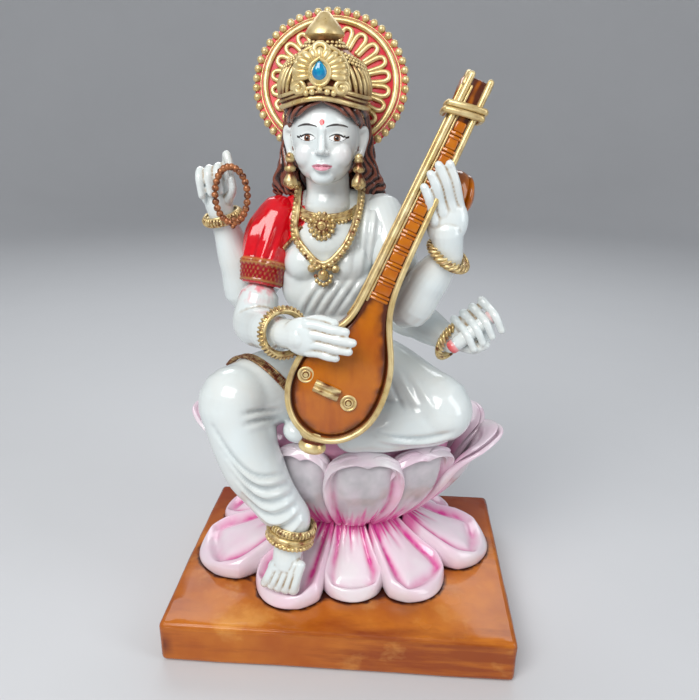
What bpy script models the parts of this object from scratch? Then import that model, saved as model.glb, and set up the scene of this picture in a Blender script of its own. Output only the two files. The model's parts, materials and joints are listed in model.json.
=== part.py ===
"""A seated four-armed figurine with a veena on a lotus and a slab plinth, as separate cast pieces.

Frame: metres, +Z up, the figure faces -Y, and the origin is the centre of the plinth's underside.
Places and sizes below are written in millimetres and multiplied by MM where they meet Blender.
Right and left are the figure's own, so its right side is at -X.
"""

import math

import bmesh
import bpy
from mathutils import Matrix, Vector

MM = 0.001
GAP = 0.5  # how far a piece is grown before it cuts its neighbour

# Plinth
PLINTH_WIDTH = 150
PLINTH_DEPTH = 112
PLINTH_HEIGHT = 20
PLINTH_EDGE = 2.5

# Lotus
LOTUS_CENTRE = Vector((0, 11, 0))
HUB_TOP = 40
HUB_HALF = (29, 20)
CUP_TOP = 86
CUP_TOP_HALF = (54, 36)
LOWER_PETALS = 9
LOWER_FIRST_ANGLE = -82
LOWER_REACH = (48, 58, 70, 62, 44, 47, 70, 73, 60)
LOWER_THICKNESS = 5.5
UPPER_PETALS = 10
UPPER_FIRST_ANGLE = -77
UPPER_THICKNESS = 3.6
UPPER_HEIGHT = 50
UPPER_FLARE = (11, 8)

# Figure: joint centres
HIP_CENTRE = Vector((-3, 9, 104))
RIGHT_HIP = Vector((-17, 3, 110))
RIGHT_KNEE = Vector((-44, -27, 110))
RIGHT_ANKLE = Vector((-21.5, -31, 52))
LEFT_HIP = Vector((13, 2, 111))
LEFT_KNEE = Vector((39, -14, 105))
LEFT_HEEL = Vector((4, -26, 97))
WAIST = Vector((-5, 2, 132))
CHEST = Vector((-8, -3, 167))
NECK = Vector((-8.5, -3, 190))
HEAD = Vector((-9, -7, 212))
SHOULDER_RIGHT = Vector((-31, 0, 180))
ELBOW_RIGHT = Vector((-37.5, -15, 140))
WRIST_RIGHT = Vector((-20, -43, 145.5))
SHOULDER_LEFT = Vector((13, 1, 182))
ELBOW_LEFT = Vector((25, -22, 151))
WRIST_LEFT = Vector((38.5, -29, 173))
REAR_SHOULDER_RIGHT = Vector((-26, 8, 170))
REAR_ELBOW_RIGHT = Vector((-44, 6, 147))
REAR_WRIST_RIGHT = Vector((-52, -1, 181))
REAR_SHOULDER_LEFT = Vector((8, 9, 168))
REAR_ELBOW_LEFT = Vector((21, 4, 143))
REAR_WRIST_LEFT = Vector((43, -12, 134.5))

# Veena: its own frame has Z up the neck, X to the viewer's right and -Y out of the soundboard
VEENA_CENTRE = Vector((1.5, -42, 125))
VEENA_AXIS = Vector((46, 18, 107)).normalized()
VEENA_NECK_HALF = 5
VEENA_NECK_START = 42
VEENA_LENGTH = 117
VEENA_DEPTH = 11
VEENA_GOURD = Vector((39.5, -17, 193))
VEENA_BODY = (  # height along the axis, half width
    (-21, 2.5), (-19.5, 8), (-15, 13.5), (-8, 17.5), (0, 19), (8, 18), (16, 14.8), (24, 10.8), (32, 7.6),
)

# Head-dress
HALO_CENTRE = Vector((-9.1, 15.5, 232.3))
HALO_RADIUS = 31.8
HALO_LEAN = math.radians(18)
CROWN_CENTRE = Vector((-9.5, -4, 225))

WHITE = ("white_glaze", (0.86, 0.90, 0.90), 0.18, 0.0)
PINK = ("petal_pink", (0.90, 0.72, 0.82), 0.2, 0.0)
WOOD = ("plinth_brown", (0.55, 0.22, 0.05), 0.25, 0.0)
GOLD = ("gold_paint", (0.72, 0.52, 0.22), 0.35, 0.8)
RED = ("red_glaze", (0.72, 0.02, 0.05), 0.15, 0.0)
LACQUER = ("veena_lacquer", (0.62, 0.24, 0.04), 0.15, 0.0)
HAIR = ("hair_brown", (0.20, 0.07, 0.04), 0.3, 0.0)
BEAD = ("bead_brown", (0.55, 0.25, 0.12), 0.35, 0.0)
GEM = ("gem_blue", (0.02, 0.45, 0.62), 0.05, 0.0)


def clear_scene():
    for obj in list(bpy.data.objects):
        bpy.data.objects.remove(obj)


def new_collection(name):
    made = bpy.data.collections.new(name)
    bpy.context.scene.collection.children.link(made)
    return made


def material(finish):
    name, colour, roughness, metallic = finish
    found = bpy.data.materials.get(name)
    if found:
        return found
    made = bpy.data.materials.new(name)
    made.use_nodes = True
    shader = made.node_tree.nodes["Principled BSDF"]
    shader.inputs["Base Color"].default_value = (*colour, 1)
    shader.inputs["Roughness"].default_value = roughness
    shader.inputs["Metallic"].default_value = metallic
    return made


def piece(name, mesh, finish, place=None):
    """A mesh as a named object of the figurine, at the place that a matrix in millimetres gives."""
    obj = bpy.data.objects.new(name, mesh)
    FIGURINE.objects.link(obj)
    mesh.materials.clear()
    mesh.materials.append(material(finish))
    if place is not None:
        obj.matrix_world = place
    return obj


def mesh_of(build):
    """A mesh in metres from a function that fills a bmesh in millimetres."""
    bm = bmesh.new()
    build(bm)
    bmesh.ops.scale(bm, vec=(MM, MM, MM), verts=bm.verts)
    bmesh.ops.recalc_face_normals(bm, faces=bm.faces)
    mesh = bpy.data.meshes.new("shape")
    bm.to_mesh(mesh)
    bm.free()
    mesh.shade_smooth()
    return mesh


def evaluated_mesh(obj):
    bpy.context.view_layer.update()
    graph = bpy.context.evaluated_depsgraph_get()
    return bpy.data.meshes.new_from_object(obj.evaluated_get(graph))


def settle(obj):
    """The object's modifiers applied, and its place put in its mesh."""
    mesh = evaluated_mesh(obj)
    mesh.transform(obj.matrix_world)
    obj.modifiers.clear()
    obj.data = mesh
    obj.matrix_world = Matrix.Identity(4)
    return obj


def ellipsoid(centre, radii, turn=None, segments=14, rings=8):
    """A closed ellipsoid mesh, turned about its centre by a rotation matrix."""

    def build(bm):
        bmesh.ops.create_uvsphere(bm, u_segments=segments, v_segments=rings, radius=1)
        place = Matrix.Translation(centre) @ (turn or Matrix()) @ Matrix.Diagonal((*radii, 1))
        bmesh.ops.transform(bm, matrix=place, verts=bm.verts)

    return mesh_of(build)


def limb(points, radii, sides=8):
    """A tapered tube with rounded ends through the points, as a curve made into a mesh."""
    points = [Vector(p) for p in points]
    first = (points[0] - points[1]).normalized()
    last = (points[-1] - points[-2]).normalized()
    route = [points[0] + first * radii[0] * 0.9, points[0] + first * radii[0] * 0.55, *points]
    route += [points[-1] + last * radii[-1] * 0.55, points[-1] + last * radii[-1] * 0.9]
    widths = [radii[0] * 0.35, radii[0] * 0.8, *radii, radii[-1] * 0.8, radii[-1] * 0.35]
    return tube(route, widths, sides)


def tube(points, radii, sides=8, closed=False):
    """A tube through the points with a radius at each, all in millimetres."""
    curve = bpy.data.curves.new("route", "CURVE")
    curve.dimensions = "3D"
    curve.bevel_depth = MM
    curve.bevel_resolution = sides // 2 - 2
    curve.use_fill_caps = True
    spline = curve.splines.new("POLY")
    spline.points.add(len(points) - 1)
    spline.use_cyclic_u = closed
    for at, point, radius in zip(spline.points, points, radii):
        at.co = (*(Vector(point) * MM), 1)
        at.radius = radius
    holder = bpy.data.objects.new("route", curve)
    bpy.context.scene.collection.objects.link(holder)
    mesh = evaluated_mesh(holder)
    bpy.data.objects.remove(holder)
    bm = bmesh.new()
    bm.from_mesh(mesh)
    bmesh.ops.remove_doubles(bm, verts=bm.verts, dist=1e-6)
    bmesh.ops.recalc_face_normals(bm, faces=bm.faces)
    bm.to_mesh(mesh)
    bm.free()
    return mesh


def turned(name, profile, finish, place, steps=20, squash=(1, 1)):
    """A turned solid. The profile's (radius, height) points run down its outer side, top to bottom."""
    mesh = bpy.data.meshes.new(name)
    points = [(radius * MM, 0, height * MM) for radius, height in profile]
    mesh.from_pydata(points, [(i, i + 1) for i in range(len(points) - 1)], [])
    obj = piece(name, mesh, finish, place)
    screw = obj.modifiers.new("Screw", "SCREW")
    screw.steps = screw.render_steps = steps
    screw.use_merge_vertices = True
    screw.merge_threshold = 1e-5
    settle_in_frame(obj, squash)
    return obj


def settle_in_frame(obj, squash):
    """Applies the modifiers and a stretch across the turning axis, then the place."""
    mesh = evaluated_mesh(obj)
    mesh.transform(Matrix.Diagonal((*squash, 1, 1)))
    mesh.transform(obj.matrix_world)
    obj.modifiers.clear()
    obj.data = mesh
    obj.matrix_world = Matrix.Identity(4)


def placed(point, turn=None):
    """A matrix in metres for a place in millimetres."""
    return Matrix.Translation(Vector(point) * MM) @ (turn or Matrix())


def along(direction, roll=0.0):
    """The rotation that carries +Z onto a direction."""
    return Vector(direction).to_track_quat("Z", "Y").to_matrix().to_4x4() @ Matrix.Rotation(roll, 4, "Z")


def boolean(obj, other_mesh, operation):
    helper = bpy.data.objects.new("helper", other_mesh)
    bpy.context.scene.collection.objects.link(helper)
    step = obj.modifiers.new("Boolean", "BOOLEAN")
    step.object = helper
    step.operation = operation
    step.solver = "MANIFOLD"
    mesh = evaluated_mesh(obj)
    obj.modifiers.remove(step)
    obj.data = mesh
    bpy.data.objects.remove(helper)


def joined(name, finish, meshes, keep=0.6):
    """One body from overlapping closed meshes. The meshes are kept, as shapes that grow without creases."""
    SHAPES[name] = [mesh.copy() for mesh in meshes]
    obj = piece(name, meshes[0], finish)
    for other in meshes[1:]:
        boolean(obj, other, "UNION")
    lighter = obj.modifiers.new("Decimate", "DECIMATE")
    lighter.ratio = keep
    return settle(obj)


def grown(mesh):
    """A copy of a closed mesh, moved outwards by the gap."""
    bm = bmesh.new()
    bm.from_mesh(mesh)
    bmesh.ops.remove_doubles(bm, verts=bm.verts, dist=2e-5)
    bm.normal_update()
    moves = [(v, v.normal * GAP * MM) for v in bm.verts]
    for vert, move in moves:
        vert.co += move
    made = bpy.data.meshes.new("grown")
    bm.to_mesh(made)
    bm.free()
    return made


def boxes_meet(a, b):
    corners = [[[v.co[k] for v in o.data.vertices] for k in range(3)] for o in (a, b)]
    reach = 2 * GAP * MM
    return all(
        min(corners[0][k]) - reach < max(corners[1][k]) and min(corners[1][k]) - reach < max(corners[0][k])
        for k in range(3)
    )


def keep_largest(mesh):
    """Drops the small offcuts that a cut leaves, so that one body stays."""
    bm = bmesh.new()
    bm.from_mesh(mesh)
    left = set(bm.faces)
    islands = []
    while left:
        island, edge = set(), [next(iter(left))]
        while edge:
            face = edge.pop()
            if face in left:
                left.remove(face)
                island.add(face)
                edge += [f for e in face.edges for f in e.link_faces]
        islands.append(island)
    islands.sort(key=lambda found: sum(f.calc_area() for f in found))
    loose = [f for island in islands[:-1] for f in island]
    bmesh.ops.delete(bm, geom=loose, context="FACES")
    bm.to_mesh(mesh)
    bm.free()


def carve(name, *cutters):
    """Cuts each named piece, grown by the gap, out of it. A name may end in *, for all that start so."""
    obj = bpy.data.objects[name]
    for pattern in cutters:
        for other in list(FIGURINE.objects):
            fits = other.name.startswith(pattern[:-1]) if pattern.endswith("*") else other.name == pattern
            if not fits or other is obj or not boxes_meet(obj, other):
                continue
            for shape in SHAPES.get(other.name, [other.data]):
                boolean(obj, grown(shape), "DIFFERENCE")
    keep_largest(obj.data)


def make_plinth():
    def build(bm):
        bmesh.ops.create_cube(bm, size=1)
        bmesh.ops.scale(bm, vec=(PLINTH_WIDTH, PLINTH_DEPTH, PLINTH_HEIGHT), verts=bm.verts)
        bmesh.ops.translate(bm, vec=(0, 0, PLINTH_HEIGHT / 2), verts=bm.verts)

    obj = piece("plinth", mesh_of(build), WOOD)
    bevel = obj.modifiers.new("Bevel", "BEVEL")
    bevel.width = PLINTH_EDGE * MM
    bevel.segments = 2
    settle(obj)


def make_lotus_core():
    """The hub that carries the lower petals, and the solid cup above it that carries the upper ones."""
    middle = placed(LOTUS_CENTRE)
    floor = PLINTH_HEIGHT + 0.35
    wide, deep = HUB_HALF
    hub = [(0, HUB_TOP), (wide, HUB_TOP), (wide + 3, floor + 6), (wide + 3, floor), (0, floor)]
    turned("lotus_base", hub, PINK, middle, 28, (1, deep / wide))
    low = HUB_TOP + 0.35
    top = CUP_TOP_HALF[0]
    profile = [(0, CUP_TOP), (top, CUP_TOP)]
    for share in (0.75, 0.5, 0.25, 0.1):
        profile.append((cup_half(share)[0] - 3.4 * (1 - share), low + share * (CUP_TOP - low)))
    profile += [(wide - 6, low), (0, low)]
    turned("lotus_cup", profile, PINK, middle, 28, (1, CUP_TOP_HALF[1] / top))


def cup_half(share):
    """The cup's half width and half depth at a share of its height, swelling like a bowl."""
    swell = math.sin(share * math.pi / 2) ** 0.8
    return tuple((low - 4) + (high - low + 4) * swell for low, high in zip(HUB_HALF[:2], CUP_TOP_HALF))


def oval_radius(half, angle):
    return 1 / math.hypot(math.cos(angle) / half[0], math.sin(angle) / half[1])


def petal_sheet(name, across, up, surface, thickness):
    """A petal as a grid bent by a surface function of u (-1 to 1) and v (0 to 1), then made thick."""

    def build(bm):
        bmesh.ops.create_grid(bm, x_segments=across, y_segments=up, size=1)
        for vert in bm.verts:
            vert.co = surface(vert.co.x, (vert.co.y + 1) / 2)

    bm = bmesh.new()
    build(bm)
    bmesh.ops.scale(bm, vec=(MM, MM, MM), verts=bm.verts)
    mesh = bpy.data.meshes.new(name)
    bm.to_mesh(mesh)
    bm.free()
    obj = piece(name, mesh, PINK)
    shell = obj.modifiers.new("Solidify", "SOLIDIFY")
    shell.thickness = thickness * MM
    shell.offset = -1
    settle(obj)
    bm = bmesh.new()
    bm.from_mesh(obj.data)
    bmesh.ops.recalc_face_normals(bm, faces=bm.faces)
    bm.to_mesh(obj.data)
    bm.free()
    return obj


def make_lower_petals():
    spread = math.pi / LOWER_PETALS
    for i, reach in enumerate(LOWER_REACH):
        angle = math.radians(LOWER_FIRST_ANGLE) + i * 2 * spread
        heading = Vector((math.cos(angle), math.sin(angle), 0))
        side = Vector((heading.y, -heading.x, 0))
        root = oval_radius((HUB_HALF[0] + 4, HUB_HALF[1] + 4), angle)

        def surface(u, v):
            radius = root + (reach - root) * v
            narrow = math.sqrt(max(0.03, 1 - max(0, (v - 0.5) / 0.5) ** 2))
            half = (radius * math.tan(spread) * 0.9 - 1.5) * narrow
            droop = 12 * (1 - v) ** 1.6
            height = PLINTH_HEIGHT + 6.5 + droop + 1.6 * u * u * (1 - v * 0.5)
            return LOTUS_CENTRE + heading * radius + side * half * u + Vector((0, 0, height))

        petal_sheet(f"lower_petal_{i + 1}", 4, 5, surface, LOWER_THICKNESS)


def make_upper_petals():
    spread = math.pi / UPPER_PETALS
    for i in range(UPPER_PETALS):
        angle = math.radians(UPPER_FIRST_ANGLE) + i * 2 * spread

        def surface(u, v):
            narrow = math.sqrt(max(0.05, 1 - max(0, (v - 0.55) / 0.45) ** 2))
            turn = angle + u * (spread - 0.012) * narrow
            half = cup_half(min(1, v * 1.02))
            flare = max(0, (v - 0.6) / 0.4) ** 1.5
            rim = [h + UPPER_THICKNESS + 1.8 + out * flare for h, out in zip(half, UPPER_FLARE)]
            radius = oval_radius(rim, turn) + 1.2 * (1 - u * u) * math.sin(math.pi * min(1, v))
            height = HUB_TOP + 1 + UPPER_HEIGHT * v
            return LOTUS_CENTRE + Vector((math.cos(turn) * radius, math.sin(turn) * radius, height))

        petal_sheet(f"upper_petal_{i + 1}", 4, 6, surface, UPPER_THICKNESS)


def veena_place(depth=0.0, height=0.0, side=0.0):
    """A matrix in metres for a point in the veena's own frame, turned with it."""
    out = (Vector((0, -1, 0)) + VEENA_AXIS * VEENA_AXIS.y).normalized()
    across = (-out).cross(VEENA_AXIS)
    turn = Matrix((across, -out, VEENA_AXIS)).transposed()
    point = VEENA_CENTRE + turn @ Vector((side, depth, height))
    return Matrix.Translation(point * MM) @ turn.to_4x4()


def outline_plate(name, finish, outline, front, thickness, place):
    """A flat plate with a symmetric outline given as (height, half width), its front at -Y."""
    curve = bpy.data.curves.new(name, "CURVE")
    curve.dimensions = "2D"
    curve.fill_mode = "BOTH"
    curve.extrude = thickness / 2 * MM
    spline = curve.splines.new("POLY")
    points = [(w, h) for h, w in outline] + [(-w, h) for h, w in reversed(outline)]
    spline.points.add(len(points) - 1)
    spline.use_cyclic_u = True
    for at, (x, z) in zip(spline.points, points):
        at.co = (x * MM, z * MM, 0, 1)
    holder = bpy.data.objects.new(name, curve)
    bpy.context.scene.collection.objects.link(holder)
    mesh = evaluated_mesh(holder)
    bpy.data.objects.remove(holder)
    upright = Matrix.Translation((0, (front + thickness / 2) * MM, 0)) @ Matrix.Rotation(math.pi / 2, 4, "X")
    mesh.transform(upright)
    bm = bmesh.new()
    bm.from_mesh(mesh)
    bmesh.ops.remove_doubles(bm, verts=bm.verts, dist=1e-6)
    bmesh.ops.recalc_face_normals(bm, faces=bm.faces)
    bm.to_mesh(mesh)
    bm.free()
    obj = piece(name, mesh, finish, place)
    return settle(obj)


def make_veena():
    place = veena_place()
    neck = [(VEENA_NECK_START, VEENA_NECK_HALF + 0.6), (VEENA_LENGTH, VEENA_NECK_HALF)]
    outline_plate("veena_body", LACQUER, [*VEENA_BODY, *neck], -VEENA_DEPTH / 2, VEENA_DEPTH, place)
    board = [(h * 0.9, max(1.2, w - 2.4)) for h, w in VEENA_BODY]
    outline_plate("veena_soundboard", LACQUER, board, -VEENA_DEPTH / 2 - 0.6, 2.2, place)
    top = VEENA_LENGTH
    head = [(0, 1, top + 1), (0.5, 8, top), (1, 12, top - 7), (1, 11, top - 14)]
    to_world = veena_place()
    points = [to_world @ (Vector(p) * MM) / MM for p in head]
    piece("veena_pegbox", limb(points, (4.4, 4.4, 4, 3), 8), LACQUER)
    piece("veena_upper_gourd", ellipsoid(VEENA_GOURD, (9, 9, 9.5), None, 12, 8), LACQUER)
    knob = [(0, 0), (3.5, 0), (5, -2.5), (4, -6), (0, -6)]
    turned("veena_tail_knob", knob, GOLD, veena_place(0, -20.7), 12)
    bridge = along(Vector((0.86, 0, -0.51)))
    centre = veena_place(-VEENA_DEPTH / 2 - 2.4, 2.5, -4.5).translation
    bar = [(0, 5), (1.7, 5), (1.7, -5), (0, -5)]
    turned("veena_bridge", bar, GOLD, Matrix.Translation(centre) @ bridge, 10)
    clasp = VEENA_NECK_HALF + 1.6
    ring = [(107, clasp), (111, clasp)]
    outline_plate("veena_clasp", GOLD, ring, -VEENA_DEPTH / 2 - 1.4, 7, place)


def hand(name, wrist, palm, palm_radii, palm_turn, fingers, thickness=2.0):
    """A palm with four fingers and a thumb, each finger a bent tapered tube."""
    meshes = [limb((wrist, palm), (5, 5), 8), ellipsoid(palm, palm_radii, palm_turn, 12, 8)]
    meshes += [limb(route, [thickness * 1.1] + [thickness] * (len(route) - 1), 6) for route in fingers]
    return joined(name, WHITE, meshes)


def make_legs():
    piece("hips", ellipsoid(HIP_CENTRE, (31, 24, 20), None, 16, 10), WHITE)
    middle = RIGHT_KNEE.lerp(RIGHT_ANKLE, 0.45) + Vector((-2, -2, 0))
    end = RIGHT_ANKLE + Vector((0, 0, 6))
    thigh = limb((RIGHT_HIP, RIGHT_KNEE.lerp(RIGHT_HIP, 0.1)), (17, 15.3), 12)
    joined("right_leg", WHITE, [thigh, limb((RIGHT_KNEE, middle, end), (15.2, 11.5, 8), 12)])
    shin = LEFT_KNEE + Vector((-1, -1, -4))
    thigh = limb((LEFT_HIP, LEFT_KNEE), (18.5, 14.5), 12)
    joined("left_leg", WHITE, [thigh, limb((shin, LEFT_HEEL), (12, 8), 10)])
    toes = Vector((-25.5, -40.5, 29.6))
    instep = RIGHT_ANKLE.lerp(toes, 0.55) + Vector((1, 2, 0))
    foot = [limb((RIGHT_ANKLE + Vector((0, 1, -4)), instep), (6.5, 6.5), 8)]
    foot.append(ellipsoid(RIGHT_ANKLE.lerp(toes, 0.78), (7, 7, 4.6), Matrix.Rotation(-0.7, 4, "X"), 12, 8))
    for i in range(5):
        tip = toes + Vector((-6.2 + 3.1 * i, 3.0 - 1.1 * i + 0.14 * i * i, 0))
        foot.append(limb((tip + Vector((1, 5, 4.5)), tip), (1.8, 1.7 + 0.12 * i), 6))
    joined("foot", WHITE, foot)
    lean = along(Vector((0.2, 0.1, 1)))
    ring = [(0, 5.5), (9.8, 5.5), (10.4, 2), (9.6, 0), (10.8, -2.4), (10.2, -5), (0, -5)]
    turned("anklet", ring, GOLD, placed(RIGHT_ANKLE, lean), 14)


def make_torso():
    joined(
        "torso",
        WHITE,
        [
            ellipsoid(CHEST, (19, 14.5, 17), None, 12, 8),
            ellipsoid(WAIST, (17, 14, 22), None, 12, 8),
            ellipsoid(CHEST + Vector((-8.5, -8, -2)), (8.5, 9, 8.5), None, 12, 8),
            ellipsoid(CHEST + Vector((8.5, -8, -2)), (8.5, 9, 8.5), None, 12, 8),
            limb((SHOULDER_RIGHT + Vector((4, 1, -1)), SHOULDER_LEFT + Vector((-3, 1, -1))), (9, 9), 10),
            limb((NECK + Vector((0, 2, -9)), NECK + Vector((0, 1, -2))), (11, 8.5), 10),
        ],
    )
    cuff = SHOULDER_RIGHT.lerp(ELBOW_RIGHT, 0.68)
    piece("sleeve", limb((SHOULDER_RIGHT, SHOULDER_RIGHT.lerp(cuff, 0.6), cuff), (10.5, 10.8, 10.6), 12), RED)


def make_arms():
    high = SHOULDER_RIGHT.lerp(ELBOW_RIGHT, 0.8)
    arm = limb((high, ELBOW_RIGHT, ELBOW_RIGHT.lerp(WRIST_RIGHT, 0.5), WRIST_RIGHT), (8.6, 8.6, 8, 5.6))
    piece("front_right_forearm", arm, WHITE)
    piece(
        "front_left_arm",
        limb(
            (SHOULDER_LEFT, SHOULDER_LEFT.lerp(ELBOW_LEFT, 0.6), ELBOW_LEFT,
             ELBOW_LEFT.lerp(WRIST_LEFT, 0.5), WRIST_LEFT),
            (9.5, 9, 8.6, 7.8, 5.4),
        ),
        WHITE,
    )
    piece(
        "rear_right_arm",
        limb(
            (REAR_SHOULDER_RIGHT, REAR_ELBOW_RIGHT,
             REAR_ELBOW_RIGHT.lerp(REAR_WRIST_RIGHT, 0.4), REAR_WRIST_RIGHT),
            (9, 8.6, 8, 5.2),
        ),
        WHITE,
    )
    piece(
        "rear_left_arm",
        limb(
            (REAR_SHOULDER_LEFT, REAR_ELBOW_LEFT,
             REAR_ELBOW_LEFT.lerp(REAR_WRIST_LEFT, 0.5), REAR_WRIST_LEFT),
            (9, 8.6, 7.6, 5.4),
        ),
        WHITE,
    )


def make_hands():
    palm = Vector((-11.5, -49, 146.5))
    tips = ((4.5, -53.2, 150.5), (6.2, -54, 146.8), (5, -54, 142.8), (0.5, -53.4, 140.2))
    knuckles = ((-6, -52, 151.5), (-5, -53, 148), (-5.4, -52.8, 144.6), (-6.6, -52, 141.4))
    fingers = [(knuckle, Vector(knuckle).lerp(Vector(tip), 0.5), tip) for knuckle, tip in zip(knuckles, tips)]
    turn = Matrix.Rotation(-0.25, 4, "Z")
    hand("front_right_hand", WRIST_RIGHT, palm, (8.5, 4.2, 8), turn, fingers)

    palm = Vector((37.2, -31.5, 186))
    tips = ((36.5, -35.2, 206), (32.8, -36, 205.6), (30.2, -36.6, 202.6), (28.2, -37, 198.6))
    knuckles = ((41, -31.5, 193), (37.6, -34, 194.5), (34, -35, 193.6), (31, -35.4, 190.6))
    fingers = [(knuckle, Vector(knuckle).lerp(Vector(tip), 0.5), tip) for knuckle, tip in zip(knuckles, tips)]
    hand("front_left_hand", WRIST_LEFT, palm, (7.6, 4.2, 9), Matrix.Rotation(0.15, 4, "Y"), fingers)

    palm = Vector((-54, -1, 192.5))
    fingers = []
    for i in range(3):
        side = -59 + 3.9 * i
        fingers.append(((side, -3.5, 199.5 + 0.8 * i), (side, -7.6, 196.5 + i), (side + 1, -7.4, 189.5 + i)))
    fingers.append(((-48.6, -3.5, 201), (-47.8, -6, 206), (-45.8, -8, 199.5)))
    fingers.append(((-48, -3, 188), (-45.6, -7, 192), (-45.8, -8.6, 197)))
    hand("rear_right_hand", REAR_WRIST_RIGHT, palm, (7.4, 4.6, 9), None, fingers)

    palm = Vector((51.5, -15, 138.5))
    fingers = []
    for i in range(4):
        base = Vector((46.5 + 3.5 * i, -17, 142.2 + 2.8 * i))
        fingers.append((base, base + Vector((2, -5, -2.5)), base + Vector((5.4, -5, -8.5))))
    turn = Matrix.Rotation(-0.7, 4, "Y")
    hand("rear_left_hand", REAR_WRIST_LEFT, palm, (9.5, 5, 8), turn, fingers)
    roll = Vector((16.4, 1, 14.5))
    ends = [(0, 11.5), (2.7, 11.5), (2.7, -11.5), (0, -11.5)]
    turned("manuscript", ends, WHITE, placed((50.5, -20, 141), along(roll)), 10)


def make_head():
    meshes = [
        ellipsoid(HEAD + Vector((0, 1, 2)), (13.2, 14, 16), None, 16, 10),
        ellipsoid(HEAD + Vector((0, -3.5, -7.5)), (10.8, 9.6, 9), None, 12, 8),
        limb((NECK + Vector((0, 1, -2)), HEAD + Vector((0, 2, -8))), (9.2, 8.6), 12),
        ellipsoid(HEAD + Vector((0, -13.5, -3.5)), (2, 3.4, 4.2), None, 8, 6),
    ]
    for side in (-1, 1):
        meshes.append(ellipsoid(HEAD + Vector((14 * side, 2.5, -1)), (2.8, 3.4, 6.2), None, 8, 6))
    joined("head", WHITE, meshes)
    back = [ellipsoid(HEAD + Vector((0, 5, 0)), (15.5, 9.5, 17), None, 16, 10)]
    for side, end in ((-1, Vector((-27, 3, 190))), (1, Vector((11, 4, 190)))):
        top = HEAD + Vector((11 * side, 5, 2))
        back.append(limb((top, top.lerp(end, 0.55) + Vector((1.5 * side, 1, 0)), end), (5, 5.5, 5.5), 8))
    joined("hair", HAIR, back)
    for label, side in (("right", -1), ("left", 1)):
        drop = [(0, 5.5), (1.6, 4.6), (1.2, 3), (2, 1), (1.4, -0.6), (2.6, -4), (1.4, -6.4), (0, -6.6)]
        lobe = HEAD + Vector((13.2 * side, -3.5, -11.5))
        turned(f"earring_{label}", drop, GOLD, placed(lobe), 8)


def make_crown():
    steps = [(0, 20), (8, 20), (11, 17), (13, 15), (15.6, 10), (16.6, 5), (16.2, 0), (0, 0)]
    turned("crown", steps, GOLD, placed(CROWN_CENTRE), 24)
    cone = [(0, 31), (2.6, 28), (6.4, 23.5), (5.2, 22.5), (5.2, 20.4), (0, 20.4)]
    turned("crown_finial", cone, GOLD, placed(CROWN_CENTRE), 16)
    gem = CROWN_CENTRE + Vector((-0.3, -16.8, 9.5))
    piece("crown_gem", ellipsoid(gem, (2, 1.2, 2.8), None, 10, 6), GEM)
    lean = Matrix.Rotation(math.pi / 2 - HALO_LEAN, 4, "X")
    disc = [(0, 2), (HALO_RADIUS - 1, 2), (HALO_RADIUS, 1), (HALO_RADIUS, -1), (HALO_RADIUS - 1, -2), (0, -2)]
    turned("halo", disc, GOLD, placed(HALO_CENTRE, lean), 40, (1, 0.96))


def make_jewellery():
    collar = []
    for i in range(9):
        turn = math.radians(-160 + 17.5 * i)
        away = math.sin(turn)
        collar.append(NECK + Vector((11 * math.cos(turn), 2 + 9.35 * away, -4 + 3 * away)))
    piece("choker", tube(collar, [1.8] * len(collar), 6), GOLD)
    chain = [(-19.5, -6, 188), (-20, -14.5, 178), (-16.5, -19, 170), (-8, -20.5, 163.5)]
    chain += [(1, -19, 170), (4.5, -14.5, 178), (4.5, -6, 188)]
    piece("necklace", tube(chain, [1.7] * len(chain), 6), GOLD)
    rings = (
        ("bangle_front_right", WRIST_RIGHT.lerp(ELBOW_RIGHT, 0.06), WRIST_RIGHT - ELBOW_RIGHT, 7.6),
        ("bangle_front_left", WRIST_LEFT, WRIST_LEFT - ELBOW_LEFT, 7.2),
        ("bangle_rear_right", REAR_WRIST_RIGHT, REAR_WRIST_RIGHT - REAR_ELBOW_RIGHT, 7),
        ("bangle_rear_left", REAR_WRIST_LEFT, REAR_WRIST_LEFT - REAR_ELBOW_LEFT, 7.2),
    )
    for name, centre, axis, radius in rings:
        around = along(axis)
        loop = []
        for i in range(14):
            turn = 2 * math.pi * i / 14
            spoke = Vector((radius * math.cos(turn), radius * math.sin(turn), 0))
            loop.append(centre + around.to_3x3() @ spoke)
        piece(name, tube(loop, [1.6] * len(loop), 6, closed=True), GOLD)
    beads = []
    for i in range(16):
        turn = 2 * math.pi * i / 16
        beads.append(Vector((-45.5 + 6.6 * math.cos(turn), -11.5, 191 + 11 * math.sin(turn))))
    piece("mala", tube(beads, [1.3] * len(beads), 6, closed=True), BEAD)


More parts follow.
